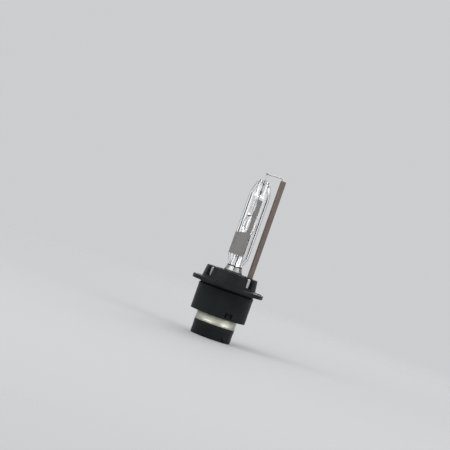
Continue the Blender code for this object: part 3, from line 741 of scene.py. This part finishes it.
def burner_section(z):
    """Half width, half depth and pressed share of the burner at a height: stem, pressed seal, chamber."""
    from_arc = abs(z - height(LIGHT_CENTRE))
    chamber_radius = Extent("arc_tube").reach
    share = eased_share((from_arc - SEAL_FAR) / SEAL_BLEND)
    depth = SEAL_HALF_THICKNESS + (STEM_RADIUS - SEAL_HALF_THICKNESS) * share
    pressed = (1 - share) * clamped((from_arc - CHAMBER_HALF_LENGTH * 0.93) / SEAL_BLEND)
    width = STEM_RADIUS
    if from_arc < CHAMBER_HALF_LENGTH:
        bulge = chamber_radius * math.sqrt(max(0.0, 1 - (from_arc / CHAMBER_HALF_LENGTH) ** 2)) ** 0.85
        width = (width**CHAMBER_BLEND + bulge**CHAMBER_BLEND) ** (1 / CHAMBER_BLEND)
        depth = (depth**CHAMBER_BLEND + bulge**CHAMBER_BLEND) ** (1 / CHAMBER_BLEND)
    return min(width, chamber_radius), min(depth, chamber_radius), pressed


def pressed_ring(made, width, depth, z, pressed):
    """A ring of the burner's skin. Where a seal is pressed, a flat is sunk between its two rounded edges."""
    ring = []
    for i in range(BURNER_STEPS):
        turn = 2 * math.pi * i / BURNER_STEPS
        power = 1 - SEAL_SQUARENESS * pressed
        x = width * math.copysign(abs(math.cos(turn)) ** power, math.cos(turn))
        y = depth * math.copysign(abs(math.sin(turn)) ** power, math.sin(turn))
        rise = eased_share((abs(x) - SEAL_FLAT_HALF_WIDTH) / SEAL_STEP)
        sunk = min(abs(y), SEAL_FLAT + (depth - SEAL_FLAT) * rise)
        y = math.copysign(abs(y) + (sunk - abs(y)) * pressed, y)
        ring.append(made.verts.new((x, y, z)))
    return ring


def burner_bore(mouth, side):
    """The open bore in a stem, from its mouth to its rounded end. side is 1 at the top and -1 below."""
    seal = height(LIGHT_CENTRE) + side * (SEAL_FAR + SEAL_BLEND)
    bore = [(STEM_BORE + BURNER_LIP, mouth), (STEM_BORE, mouth - side * BURNER_LIP), (STEM_BORE, seal)]
    bore += [(STEM_BORE * 0.8, seal - side * 0.5 * MM), (0.45 * MM, seal - side * 0.9 * MM)]
    bore += [(0.0, seal - side * MM)]
    return [(radius, radius, z, 0.0) for radius, z in bore]


def chamber_radius_at(turn):
    """The chamber's inner radius, turn radians down from its upper end."""
    return CHAMBER_BORE * max(0.0, math.sin(turn)) ** 0.9


def add_chamber(made):
    """Adds the discharge chamber's hollow, with its faces turned inward."""
    hollow = bmesh.new()
    profile = []
    for i in range(CHAMBER_STEPS + 1):
        turn = math.pi * i / CHAMBER_STEPS
        z = height(LIGHT_CENTRE) + CHAMBER_BORE_HALF_LENGTH * math.cos(turn)
        profile.append((chamber_radius_at(turn), z))
    add_turned(hollow, profile, FINE_STEPS)
    bmesh.ops.recalc_face_normals(hollow, faces=hollow.faces)
    bmesh.ops.reverse_faces(hollow, faces=hollow.faces)
    carry = bpy.data.meshes.new("chamber_hollow")
    hollow.to_mesh(carry)
    hollow.free()
    made.from_mesh(carry)
    bpy.data.meshes.remove(carry)


def make_burner(quartz):
    """The burner's glass: stems with open bores, solid pressed seals, and the hollow discharge chamber."""
    node = Extent("arc_tube")
    made = bmesh.new()
    rings = []
    for i in range(BURNER_RINGS + 1):
        z = node.top + (node.foot - node.top) * i / BURNER_RINGS
        width, depth, pressed = burner_section(z)
        rings.append((width, depth, z, pressed))
    mouth, soft = STEM_RADIUS - BURNER_LIP, BURNER_LIP * 0.3
    rings[0] = (mouth, mouth, node.top, 0.0)
    rings.insert(1, (STEM_RADIUS - soft, STEM_RADIUS - soft, node.top - soft, 0.0))
    rings[-1] = (mouth, mouth, node.foot, 0.0)
    rings = burner_bore(node.top, 1)[::-1] + rings + burner_bore(node.foot, -1)
    skin = []
    for width, depth, z, pressed in rings:
        if width < ON_AXIS:
            skin.append([made.verts.new((0.0, 0.0, z))])
        else:
            skin.append(pressed_ring(made, width, depth, z, pressed))
    for first, second in zip(skin, skin[1:]):
        bridge(made, first, second)
    bmesh.ops.recalc_face_normals(made, faces=made.faces)
    add_chamber(made)
    finish_piece(to_object("burner_glass", made, 60), "quartz", [quartz], "arc_tube")


def make_shield(outer_paint, inner_paint_and_shade):
    """The baked coating: a band whose upper edge climbs to the return lead, and a stripe up each side."""
    node = Extent("light_shield_coating")
    jacket = Extent("outer_envelope").reach
    inner = jacket + SHIELD_GAP
    near = math.radians(STRIPE_NEAR)
    stripe = math.radians(STRIPE_FAR) - near
    span, back_span = math.pi - near, math.pi - near + math.radians(SHIELD_OVERREACH)
    slope = math.tan(math.radians(SHIELD_SLOPE))
    columns, rows = SHIELD_COLUMNS, SHIELD_ROWS
    made = bmesh.new()

    def wander(turn, z, size=0.05 * MM):
        return size * noise.noise(Vector((turn * 6.0, z / MM * 0.9, 3.7)))

    def vertex(turn, z):
        """A point on the glass. turn is counted from the side away from the return lead."""
        angle = math.pi + turn
        return made.verts.new((inner * math.cos(angle), inner * math.sin(angle), z))

    band, upper = [], {}
    for i in range(columns + 1):
        turn = -back_span + (back_span + span) * i / columns
        top = height(SHIELD_AXIS_TOP) - slope * jacket * math.cos(turn) + wander(turn, 0.0)
        foot = node.foot + wander(turn, 50.0)
        column = []
        for j in range(rows + 1):
            z = foot + (top - foot) * j / rows
            edge = wander(9.0, z) / jacket if i in (0, columns) else 0.0
            column.append(vertex(turn + edge, z))
        band.append(column)
        if turn >= span - stripe - 1e-6 or turn <= stripe - span:
            tall = [column[-1]]
            for j in range(1, 3 * rows + 1):
                z = top + (node.top + wander(turn, 90.0) * 0.5 - top) * j / (3 * rows)
                z = min(z, node.top)
                tall.append(vertex(turn + wander(turn * 40, z, 0.03 * MM) / jacket, z))
            upper[i] = tall
    for i in range(columns):
        for first, second in ((band[i], band[i + 1]), (upper.get(i, []), upper.get(i + 1, []))):
            for j in range(min(len(first), len(second)) - 1):
                made.faces.new((first[j], second[j], second[j + 1], first[j + 1]))
    bmesh.ops.recalc_face_normals(made, faces=made.faces)
    outward = made.faces[:][0].calc_center_median()
    outward.z = 0
    if made.faces[:][0].normal.dot(outward) < 0:
        bmesh.ops.reverse_faces(made, faces=made.faces)
    bmesh.ops.solidify(made, geom=made.faces[:], thickness=-SHIELD_THICKNESS)
    made.normal_update()
    bmesh.ops.recalc_face_normals(made, faces=made.faces)
    for face in made.faces:
        centre = face.calc_center_median()
        centre.z = 0
        # the inside faces take the second material: the coating's dark paint seen through the glass, deepened
        # to near black as painted shade
        face.material_index = 1 if face.normal.dot(centre.normalized()) < -0.5 else 0
    coating = to_object("shield_coating", made, 50)
    finish_piece(coating, "coating", [outer_paint, inner_paint_and_shade], "light_shield_coating")


# Metal inside the burner --------------------------------------------------------------------


def make_electrodes(tungsten):
    """Tungsten rods, each with its end melted to a ball."""
    for where, side in (("upper", 1), ("lower", -1)):
        node = Extent(f"{where}_electrode")
        tip, root = (node.foot, node.top) if side > 0 else (node.top, node.foot)
        radius = node.reach
        ball = radius * 1.25
        profile = [(0.0, tip), (ball * 0.6, tip + side * ball * 0.2), (ball, tip + side * ball)]
        profile += [(ball * 0.9, tip + side * ball * 1.8), (radius * 0.95, tip + side * ball * 2.6)]
        profile += [(radius * 0.95, root), (0.0, root)]
        electrode = turned(f"{where}_tungsten_electrode", profile, WIRE_STEPS)
        finish_piece(electrode, "tungsten", [tungsten], f"{where}_electrode")


def rim_of(grid):
    """The vertices round the edge of a grid of rows, in order."""
    return grid[0] + [row[-1] for row in grid[1:-1]] + grid[-1][::-1] + [row[0] for row in grid[-2:0:-1]]


def make_foils(molybdenum):
    """Feather-edged sealing foils, faintly rippled."""
    across, along = 12, 40
    for where in ("upper", "lower"):
        node = Extent(f"{where}_foil")
        made = bmesh.new()
        sides = []
        for face in (1, -1):
            grid = []
            for j in range(along + 1):
                z = node.foot + (node.top - node.foot) * j / along
                row = []
                for i in range(across + 1):
                    share = 2 * i / across - 1
                    thick = 0.02 * MM * (1.02 - share * share)
                    ripple = 0.03 * MM * noise.noise(Vector((share, z / MM * 0.8, 1.3)))
                    row.append(made.verts.new((node.reach * share, node.y + ripple + face * thick, z)))
                grid.append(row)
            for below, above in zip(grid, grid[1:]):
                for i in range(across):
                    made.faces.new((below[i], below[i + 1], above[i + 1], above[i]))
            sides.append(grid)
        bridge(made, rim_of(sides[0]), rim_of(sides[1]))
        bmesh.ops.recalc_face_normals(made, faces=made.faces)
        foil = to_object(f"{where}_sealing_foil", made, 60)
        finish_piece(foil, "molybdenum", [molybdenum], f"{where}_foil")


def make_lead_ins(molybdenum):
    """The outer lead-in wires. The upper one is crusted with oxide at two places in its bore."""
    for where in ("upper", "lower"):
        node = Extent(f"{where}_lead_in")
        radius = node.reach * 0.95
        outline = [(0.0, node.top), (radius, node.top, 0.1 * MM)]
        if where == "upper":
            for centre, half, thick in OXIDE_CRUSTS:
                crust = radius + thick * MM
                outline += [(radius, up(centre + half), 0.1 * MM)]
                outline += [(crust, up(centre + half * 0.5), 0.2 * MM)]
                outline += [(crust, up(centre - half * 0.5), 0.2 * MM)]
                outline += [(radius, up(centre - half), 0.1 * MM)]
        outline += [(radius, node.foot, 0.1 * MM), (0.0, node.foot)]
        lead = turned(f"{where}_lead_in_wire", rounded(outline), WIRE_STEPS)
        finish_piece(lead, "molybdenum", [molybdenum], f"{where}_lead_in")


def make_salts(salts):
    """A few condensed beads low on the chamber's wall."""
    made = bmesh.new()
    for i in range(SALT_BEADS):
        turn = GOLDEN_TURN * i
        drop = math.pi * (0.55 + 0.33 * (i / SALT_BEADS))
        reach = chamber_radius_at(drop) * 0.97
        z = height(LIGHT_CENTRE) + CHAMBER_BORE_HALF_LENGTH * math.cos(drop)
        size = (0.09 + 0.09 * noise.noise(Vector((i * 1.7, 0.3, 0.0)))) * MM + 0.05 * MM
        place = Matrix.Translation((reach * math.cos(turn), reach * math.sin(turn), z))
        bmesh.ops.create_icosphere(made, subdivisions=2, radius=size, matrix=place)
    finish_piece(to_object("halide_salt_beads", made, 60), "quartz", [salts])


# Leads --------------------------------------------------------------------------------------


def return_lead_route(node):
    """From the weld across the top, round the corner, down the sleeve and out to the contact ring's tab."""
    sleeve = Extent("ceramic_sleeve")
    x, start = sleeve.x, node.low.x
    across = node.top - LEAD_RADIUS
    route = []
    for i in range(LEAD_STEPS + 1):
        share = i / LEAD_STEPS
        sag = LEAD_SAG * (1 - share) ** 2
        route.append((start + (x - LEAD_BEND - start) * share, 0.0, across - sag))
    for i in range(1, LEAD_BEND_STEPS + 1):
        turn = math.pi / 2 * i / LEAD_BEND_STEPS
        route.append((x - LEAD_BEND * (1 - math.sin(turn)), 0.0, across - LEAD_BEND * (1 - math.cos(turn))))
    settled = node.high.x - LEAD_RADIUS
    out = Extent("base_crown").foot
    route += [(x, 0.0, sleeve.top), (x, 0.0, sleeve.foot), (settled, 0.0, out), (settled, 0.0, node.foot)]
    return route


def make_return_lead(nickel):
    route = return_lead_route(Extent("return_lead"))
    finish_piece(wire("return_lead_wire", route, LEAD_RADIUS), "nickel", [nickel], "return_lead")


def make_weld(nickel):
    """The crimped band where the two wires are welded, with a domed bead on top."""
    node = Extent("tip_weld_band")
    radius, inner = node.reach, 0.3 * MM
    high, low = node.top, node.foot
    outline = [(0.0, high), (inner * 0.9, high - 0.03 * MM), (radius * 0.72, high - 0.14 * MM)]
    outline += [(radius * 0.97, high - 0.34 * MM), (radius, high - 0.5 * MM), (radius * 0.9, low + 0.12 * MM)]
    outline += [(radius * 0.72, low), (inner, low + 0.05 * MM), (0.0, low + 0.05 * MM)]
    band = turned("weld_knot", outline, SMALL_STEPS, smooth_angle=60)
    for vertex in band.data.vertices:
        spot = vertex.co
        push = 0.05 * MM * noise.noise(spot * 2600.0)
        flat = Vector((spot.x, spot.y, 0.0))
        if flat.length > ON_AXIS:
            vertex.co += flat.normalized() * min(push, radius - flat.length)
    finish_piece(band, "nickel", [nickel], "tip_weld_band")


def make_ceramic(ceramic):
    """The tube over the return lead, with its ends broken and an open bore."""
    node = Extent("ceramic_sleeve")
    outer, bore = node.half_width, 0.5 * MM
    rings = 12
    outline = [(bore, node.top, 0.1 * MM), (outer, node.top, 0.22 * MM)]
    outline += [(outer, node.top + (node.foot - node.top) * i / rings) for i in range(1, rings)]
    outline += [(outer, node.foot, 0.22 * MM), (bore, node.foot, 0.1 * MM)]
    tube = turned("ceramic_tube", rounded(outline), FINE_STEPS, node.x)
    finish_piece(tube, "ceramic", [ceramic], "ceramic_sleeve")


# Burner mounting ----------------------------------------------------------------------------


def make_clamp(outside, inside):
    """The flared collar: a drawn steel sleeve with a turned-out foot, slotted into gripping fingers."""
    node = Extent("burner_clamp")
    wall = 0.25 * MM
    collar, foot = 3.3 * MM, node.reach
    bend = up(8.05)
    outline = [(collar - wall, node.top, 0.08 * MM), (collar, node.top, 0.1 * MM), (collar, bend, 0.4 * MM)]
    outline += [(foot, node.foot, 0.08 * MM), (foot - wall, node.foot, 0.08 * MM)]
    outline += [(collar - wall, bend - 0.1 * MM, 0.4 * MM)]
    clamp = turned("clamp_collar", rounded(outline))
    low, high = (0.0, -0.22 * MM, up(6.5)), (foot + MM, 0.22 * MM, node.top + MM)
    around(clamp, "slot", [CLAMP_FIRST_SLOT + 360 * i / CLAMP_SLOTS for i in range(CLAMP_SLOTS)], low, high)
    settle(clamp, 30)
    finish_piece(clamp, "steel", [outside, inside], "burner_clamp")
    for face in clamp.data.polygons:
        out = Vector((face.center.x, face.center.y, 0.0)).normalized()
        # inside faces take the second material: near-black steel, painted shade inside the collar
        face.material_index = 1 if face.normal.dot(out) < -0.3 else 0


def ring_leg(node, turn):
    """A strip along the ring's top that bends down into a notch, turned to it."""
    top = node.top - LEG_SKIN
    across, down = LEG_OUTER - LEG_BEND, top - LEG_BEND
    root = (RING_BORE + RING_RADIUS) / 2

    def bend(radius, step):
        angle = math.pi / 2 * step
        return across + radius * math.sin(angle), down + radius * math.cos(angle)

    strip = [(root, top), (across, top)]
    strip += [bend(LEG_BEND, i / LEG_BEND_STEPS) for i in range(1, LEG_BEND_STEPS + 1)]
    strip += [(LEG_OUTER, node.foot), (LEG_OUTER - RING_SHEET, node.foot)]
    strip += [bend(LEG_BEND - RING_SHEET, 1 - i / LEG_BEND_STEPS) for i in range(LEG_BEND_STEPS + 1)]
    strip += [(root, node.top - RING_SHEET + 2 * LEG_SKIN)]
    made = bmesh.new()
    face = made.faces.new([made.verts.new((x, -LEG_HALF_WIDTH, z)) for x, z in dict.fromkeys(strip)])
    drawn = bmesh.ops.extrude_face_region(made, geom=[face])["geom"]
    moved = [v for v in drawn if isinstance(v, bmesh.types.BMVert)]
    bmesh.ops.translate(made, vec=(0, 2 * LEG_HALF_WIDTH, 0), verts=moved)
    place = Matrix.Rotation(math.radians(turn), 3, "Z")
    bmesh.ops.rotate(made, cent=(0, 0, 0), matrix=place, verts=made.verts)
    bmesh.ops.recalc_face_normals(made, faces=made.faces)
    return to_object(f"leg_{turn}", made)


def make_mounting_ring(steel):
    """The pressed ring with four legs bent down into the crown, and the spot welds that hold the clamp."""
    node = Extent("mounting_ring")
    top, under = node.top, node.top - RING_SHEET
    outline = [(RING_BORE, top, 0.1 * MM), (RING_RADIUS, top, 0.12 * MM)]
    outline += [(RING_RADIUS, under, 0.1 * MM), (RING_BORE, under, 0.08 * MM)]
    ring = turned("pressed_mounting_ring", rounded(outline))
    for turn in NOTCH_TURNS:
        combine(ring, ring_leg(node, turn), "UNION")
    settle(ring, 30)
    finish_piece(ring, "steel", [steel], "mounting_ring")
    spots = bmesh.new()
    flatten = Matrix.Diagonal((1.0, 1.0, SPOT_WELD_FLATNESS, 1.0))
    for i in range(SPOT_WELDS):
        turn = 2 * math.pi * i / SPOT_WELDS
        centre = (SPOT_WELD_CIRCLE * math.cos(turn), SPOT_WELD_CIRCLE * math.sin(turn), top - 0.02 * MM)
        place = Matrix.Translation(centre) @ flatten
        bmesh.ops.create_uvsphere(spots, u_segments=20, v_segments=10, radius=SPOT_WELD_RADIUS, matrix=place)
    finish_piece(to_object("spot_welds", spots, 60), "steel", [steel])


# Base ---------------------------------------------------------------------------------------


def finish_edged(obj, edge, slot, material, node):
    """Breaks a cut piece's edges, then settles and finishes it."""
    break_edges(obj, edge)
    settle(obj)
    finish_piece(obj, slot, [material], node)


def make_crown(plastic):
    """The upper moulding: notched cone, seating flange with three bosses and keyways, and spigot."""
    node = Extent("base_crown")
    flange = 16.05 * MM
    face, back = up(-0.25), up(-2.0)
    top = node.top
    recess, floor = 6.2 * MM, up(4.15)
    spigot, neck, bore = 10.6 * MM, up(-2.8), 2.6 * MM
    cup, web = 9.2 * MM, up(-1.7)
    outline = [(recess, top, 0.18 * MM), (10.2 * MM, top), (11.5 * MM, top, 0.5 * MM)]
    outline += [(12.25 * MM, face, 0.45 * MM), (flange, face, 0.3 * MM), (flange, back, 0.35 * MM)]
    outline += [(12.7 * MM, back, 0.3 * MM), (11.9 * MM, neck, 0.1 * MM), (spigot, neck)]
    outline += [(spigot, node.foot), (cup, node.foot), (cup, web), (bore, web)]
    outline += [(bore, floor, 0.15 * MM), (recess, floor, 0.15 * MM)]
    crown = turned("crown_moulding", rounded(outline))
    low, high = (5.8 * MM, -1.7 * MM, up(0.9)), (14.0 * MM, 1.7 * MM, top + MM)
    around(crown, "notch", NOTCH_TURNS, low, high)
    for turn, width, depth in KEYWAYS:
        low = (flange - depth * MM, -width / 2 * MM, back - MM)
        around(crown, "key", [turn], low, (flange + MM, width / 2 * MM, face + 0.8 * MM))
    low, high = (13.1 * MM, -1.7 * MM, face - 0.3 * MM), (15.3 * MM, 1.7 * MM, SEAT)
    around(crown, "boss", BOSS_TURNS, low, high, "UNION")
    sleeve = Extent("ceramic_sleeve")
    outer = sleeve.half_width + 0.12 * MM
    hole = [(0.0, top + MM), (outer, top + MM), (outer, sleeve.foot), (0.0, sleeve.foot)]
    combine(crown, turned("sleeve_hole", hole, SMALL_STEPS, sleeve.x))
    finish_edged(crown, 0.14 * MM, "black_plastic", plastic, "base_crown")


def make_body(plastic):
    """The lower housing, a plain cup with a small latch window, and a fine parting step round it."""
    node = Extent("base_body")
    radius, top, foot = node.reach, node.top, node.foot
    bore, opening, floor = 10.9 * MM, 9.45 * MM, up(-13.0)
    step, low_radius = up(-4.3), radius - 0.05 * MM
    outline = [(bore, top, 0.15 * MM), (radius, top, 0.28 * MM), (radius, step)]
    outline += [(radius - 0.07 * MM, step - 0.12 * MM), (radius - 0.06 * MM, up(-11.6))]
    outline += [(low_radius, up(-14.1)), (low_radius, foot, 0.45 * MM), (opening, foot, 0.2 * MM)]
    outline += [(opening, floor), (bore, floor)]
    body = turned("body_moulding", rounded(outline))
    low = (radius - 1.3 * MM, -1.75 * MM, up(-13.9))
    around(body, "latch", [LATCH_TURN], low, (radius + MM, 1.75 * MM, up(-11.8)))
    finish_edged(body, 0.1 * MM, "black_plastic", plastic, "base_body")


def make_contact_ring(contact):
    """The return contact: a rolled band with a beaded lower edge and a tab up into the body."""
    node = Extent("contact_ring")
    outer, inner = node.reach, 8.65 * MM
    top, foot = up(-13.05), node.foot
    band = outer - 0.16 * MM
    outline = [(inner, top, 0.1 * MM), (band, top, 0.1 * MM), (band, foot + 1.5 * MM, 0.6 * MM)]
    outline += [(outer, foot + 0.7 * MM, 0.1 * MM), (outer, foot, 0.12 * MM), (inner, foot, 0.1 * MM)]
    ring = turned("contact_band", rounded(outline))
    tab = block("tab", (8.75 * MM, -1.2 * MM, top - MM), (outer - 0.2 * MM, 1.2 * MM, node.top))
    combine(ring, tab, "UNION")
    low, high = (0.0, -0.06 * MM, foot - MM), (outer + MM, 0.06 * MM, top + MM)
    around(ring, "seam", [SEAM_TURN], low, high)
    finish_edged(ring, 0.05 * MM, "contact", contact, "contact_ring")


def make_socket(plastic):
    """The connector insert: a seat for the contact band, a skirt with bayonet lugs, and the socket inside."""
    node = Extent("connector_socket")
    rim = node.foot
    radius, bore, hole = 9.1 * MM, 7.0 * MM, 1.75 * MM
    flange, under = 10.5 * MM, up(-12.9)
    band, seat = 8.5 * MM, up(-18.65)
    skirt = radius - 0.1 * MM
    floor = up(-14.6)
    sunk = floor - 0.5 * MM
    outline = [(hole, node.top), (flange, node.top), (flange, under), (band, under), (band, seat)]
    outline += [(radius, seat, 0.15 * MM), (radius - 0.02 * MM, up(-20.4))]
    outline += [(skirt, up(-20.5)), (skirt, rim, 0.4 * MM), (bore, rim, 0.45 * MM)]
    outline += [(bore, floor, 0.3 * MM), (hole + 1.4 * MM, floor, 0.1 * MM)]
    outline += [(hole + 1.2 * MM, sunk, 0.12 * MM), (hole, sunk)]
    socket = turned("socket_moulding", rounded(outline))
    low = (radius - 0.9 * MM, -1.1 * MM, up(-24.3))
    around(socket, "lug", LUG_TURNS, low, (radius + 0.88 * MM, 1.1 * MM, up(-22.5)), "UNION")
    low = (bore - 0.35 * MM, -0.45 * MM, rim + 1.2 * MM)
    around(socket, "rib", RIB_TURNS, low, (bore + 0.4 * MM, 0.45 * MM, floor + 0.1 * MM), "UNION")
    finish_edged(socket, 0.12 * MM, "black_plastic", plastic, "connector_socket")


def make_pin(contact):
    """The hollow centre contact, with a collar, a fine groove and a rounded tip."""
    node = Extent("contact_pin")
    radius, bore, collar = 1.6 * MM, 0.65 * MM, node.reach
    groove = radius - 0.12 * MM
    under = up(-10.5)
    outline = [(bore, node.top, 0.05 * MM), (collar, node.top, 0.15 * MM), (collar, under, 0.15 * MM)]
    outline += [(radius, under, 0.1 * MM), (radius, up(-16.5)), (groove, up(-16.8), 0.1 * MM)]
    outline += [(groove, up(-17.3), 0.1 * MM), (radius, up(-17.6))]
    outline += [(radius, node.foot, 0.8 * MM), (bore, node.foot, 0.15 * MM)]
    finish_piece(turned("centre_pin", rounded(outline), FINE_STEPS), "contact", [contact], "contact_pin")


def dress_hidden_nodes(silicone):
    """The potting and the lead's sleeve are shut inside the base, so their CAD solids stay, in silicone."""
    for name in ("hv_insulator", "potting_compound"):
        obj = frame["nodes"][name]
        obj.data.materials.clear()
        obj.data.materials.append(silicone)


# Studio -------------------------------------------------------------------------------------


def make_floor():
    """A pale disc that fades out into the backdrop, so that no horizon shows."""
    made = bmesh.new()
    bmesh.ops.create_circle(made, cap_ends=True, segments=96, radius=FLOOR_REACH)
    floor = to_object("studio_floor", made)
    floor.location.z = -0.02 * MM
    paper = Surface("studio_paper", (0.45, 0.455, 0.46), 0.9)
    paper.set("Specular IOR Level", 0.1)
    where = paper.node("ShaderNodeTexCoord")
    distance = paper.node("ShaderNodeVectorMath", operation="LENGTH")
    paper.wire(where.outputs["Object"], distance.inputs[0])
    clear = paper.node("ShaderNodeBsdfTransparent")
    mixed = paper.node("ShaderNodeMixShader")
    share = paper.fade(distance.outputs["Value"], *FLOOR_FADE, kind="SMOOTHERSTEP")
    paper.wire(share, mixed.inputs["Fac"])
    paper.wire(paper.shader.outputs["BSDF"], mixed.inputs[1])
    paper.wire(clear.outputs["BSDF"], mixed.inputs[2])
    paper.wire(mixed.outputs["Shader"], paper.tree.nodes["Material Output"].inputs["Surface"])
    floor.data.materials.append(paper.material)


def make_world():
    """A pale room. Soft panels and dark flags stand round the bulb at its own height."""
    world = bpy.data.worlds.new("studio")
    room = Nodes(world)
    look = room.split(room.node("ShaderNodeTexCoord").outputs["Generated"])
    azimuth = room.maths("ARCTAN2", room.maths("MULTIPLY", look["X"], -1.0), look["Y"])
    share = room.maths("ADD", room.maths("DIVIDE", azimuth, 2 * math.pi), 0.5)
    walls = room.ramp(share, [(degrees / 360 + 0.5, level) for degrees, level in WALLS])
    walls.node.color_ramp.interpolation = "EASE"
    flagged = room.maths("MULTIPLY", walls, WALL_SCALE)
    away = room.fade(room.maths("ABSOLUTE", look["Z"]), *FLAG_REACH)
    above = room.fade(look["Z"], *CEILING_RISE, BACKDROP_LEVEL, CEILING_LEVEL)
    near = room.maths("MULTIPLY", flagged, room.maths("SUBTRACT", 1.0, away))
    background = room.tree.nodes["Background"]
    background.inputs["Color"].default_value = WALL_COLOUR
    room.wire(room.maths("ADD", near, room.maths("MULTIPLY", above, away)), background.inputs["Strength"])
    bpy.context.scene.world = world


def make_lights():
    """Soft square lights, aimed a little above the seating plane."""
    middle = Vector((0.0, 0.0, height(0.01)))
    for name, place, size, power in LIGHTS:
        data = bpy.data.lights.new(name, "AREA")
        data.shape = "RECTANGLE"
        data.size = data.size_y = size
        data.energy = power
        obj = link(name, data)
        obj.location = place
        obj.rotation_euler = (middle - Vector(place)).to_track_quat("-Z", "Y").to_euler()


def set_light_paths():
    """Room for the many walls of glass that a ray crosses, and plain display of the colours."""
    scene = bpy.context.scene
    scene.cycles.max_bounces = scene.cycles.transmission_bounces = MAX_BOUNCES
    scene.cycles.glossy_bounces = GLOSSY_BOUNCES
    scene.view_settings.view_transform = "Standard"


def make_camera():
    """Level with the bulb, turned a little about it, and rolled so that the bulb leans."""
    low, high = CAD_BOUNDS
    data = bpy.data.cameras.new("camera")
    data.lens = LENS
    data.sensor_width = SENSOR
    data.clip_start = 0.01
    data.clip_end = 50.0
    camera = link("camera", data)
    upward = Vector((0, 0, 1))
    right = Vector((math.cos(VIEW_AZIMUTH), math.sin(VIEW_AZIMUTH), 0))
    back = right.cross(upward)
    across = right * math.cos(VIEW_ROLL) + upward * math.sin(VIEW_ROLL)
    above = upward * math.cos(VIEW_ROLL) - right * math.sin(VIEW_ROLL)
    distance = VIEW_WIDTH * LENS / SENSOR
    target = Vector((0, 0, (low.z + high.z) / 2)) + upward * AIM_UP + right * AIM_RIGHT
    place = Matrix((across, above, back)).transposed().to_4x4()
    place.translation = target + back * distance
    camera.matrix_world = place
    bpy.context.scene.camera = camera


def make_bulb():
    """Every piece of the bulb, with its material."""
    steel = metal_material("stamped_steel", (0.5, 0.51, 0.51), 0.3, (1.0, 1.0, 6.0))
    contact = metal_material("plated_contact", (0.50, 0.495, 0.45), 0.34, (0.4, 0.4, 5.0), (0.34, 0.32, 0.27))
    tungsten = metal_material("tungsten", (0.26, 0.26, 0.28), 0.42)
    nickel = nickel_lead_material()
    make_jacket(quartz_material("jacket_quartz", (0.80, 0.84, 0.86), 60.0))
    make_burner(quartz_material("burner_quartz", (0.82, 0.85, 0.86), 40.0))
    make_shield(
        coating_material("shield_outside", (0.17, 0.163, 0.158), 0.72),
        # inside colour: dark paint deepened to near black as painted shade on the coating's back
        coating_material("shield_inside", (0.005, 0.005, 0.0055), 0.6),
    )
    make_electrodes(tungsten)
    make_foils(foil_material())
    make_lead_ins(lead_in_material())
    make_salts(salt_material())
    make_return_lead(nickel)
    make_weld(nickel)
    make_ceramic(ceramic_material())
    # the collar's inside is near-black steel, painted shade inside the collar
    make_clamp(clamp_material(), metal_material("steel_inside", (0.05, 0.045, 0.042), 0.5))
    make_mounting_ring(steel)
    make_crown(plastic_material("crown_plastic"))
    make_body(plastic_material("body_plastic", (0.0072, 0.0092, 0.0098)))
    make_contact_ring(contact_material())
    make_socket(plastic_material("socket_plastic", (0.0072, 0.0092, 0.0098), 0.42))
    make_pin(contact)
    dress_hidden_nodes(silicone_material())


make_bulb()
make_floor()
make_world()
make_lights()
set_light_paths()
make_camera()

bpy.context.view_layer.update()
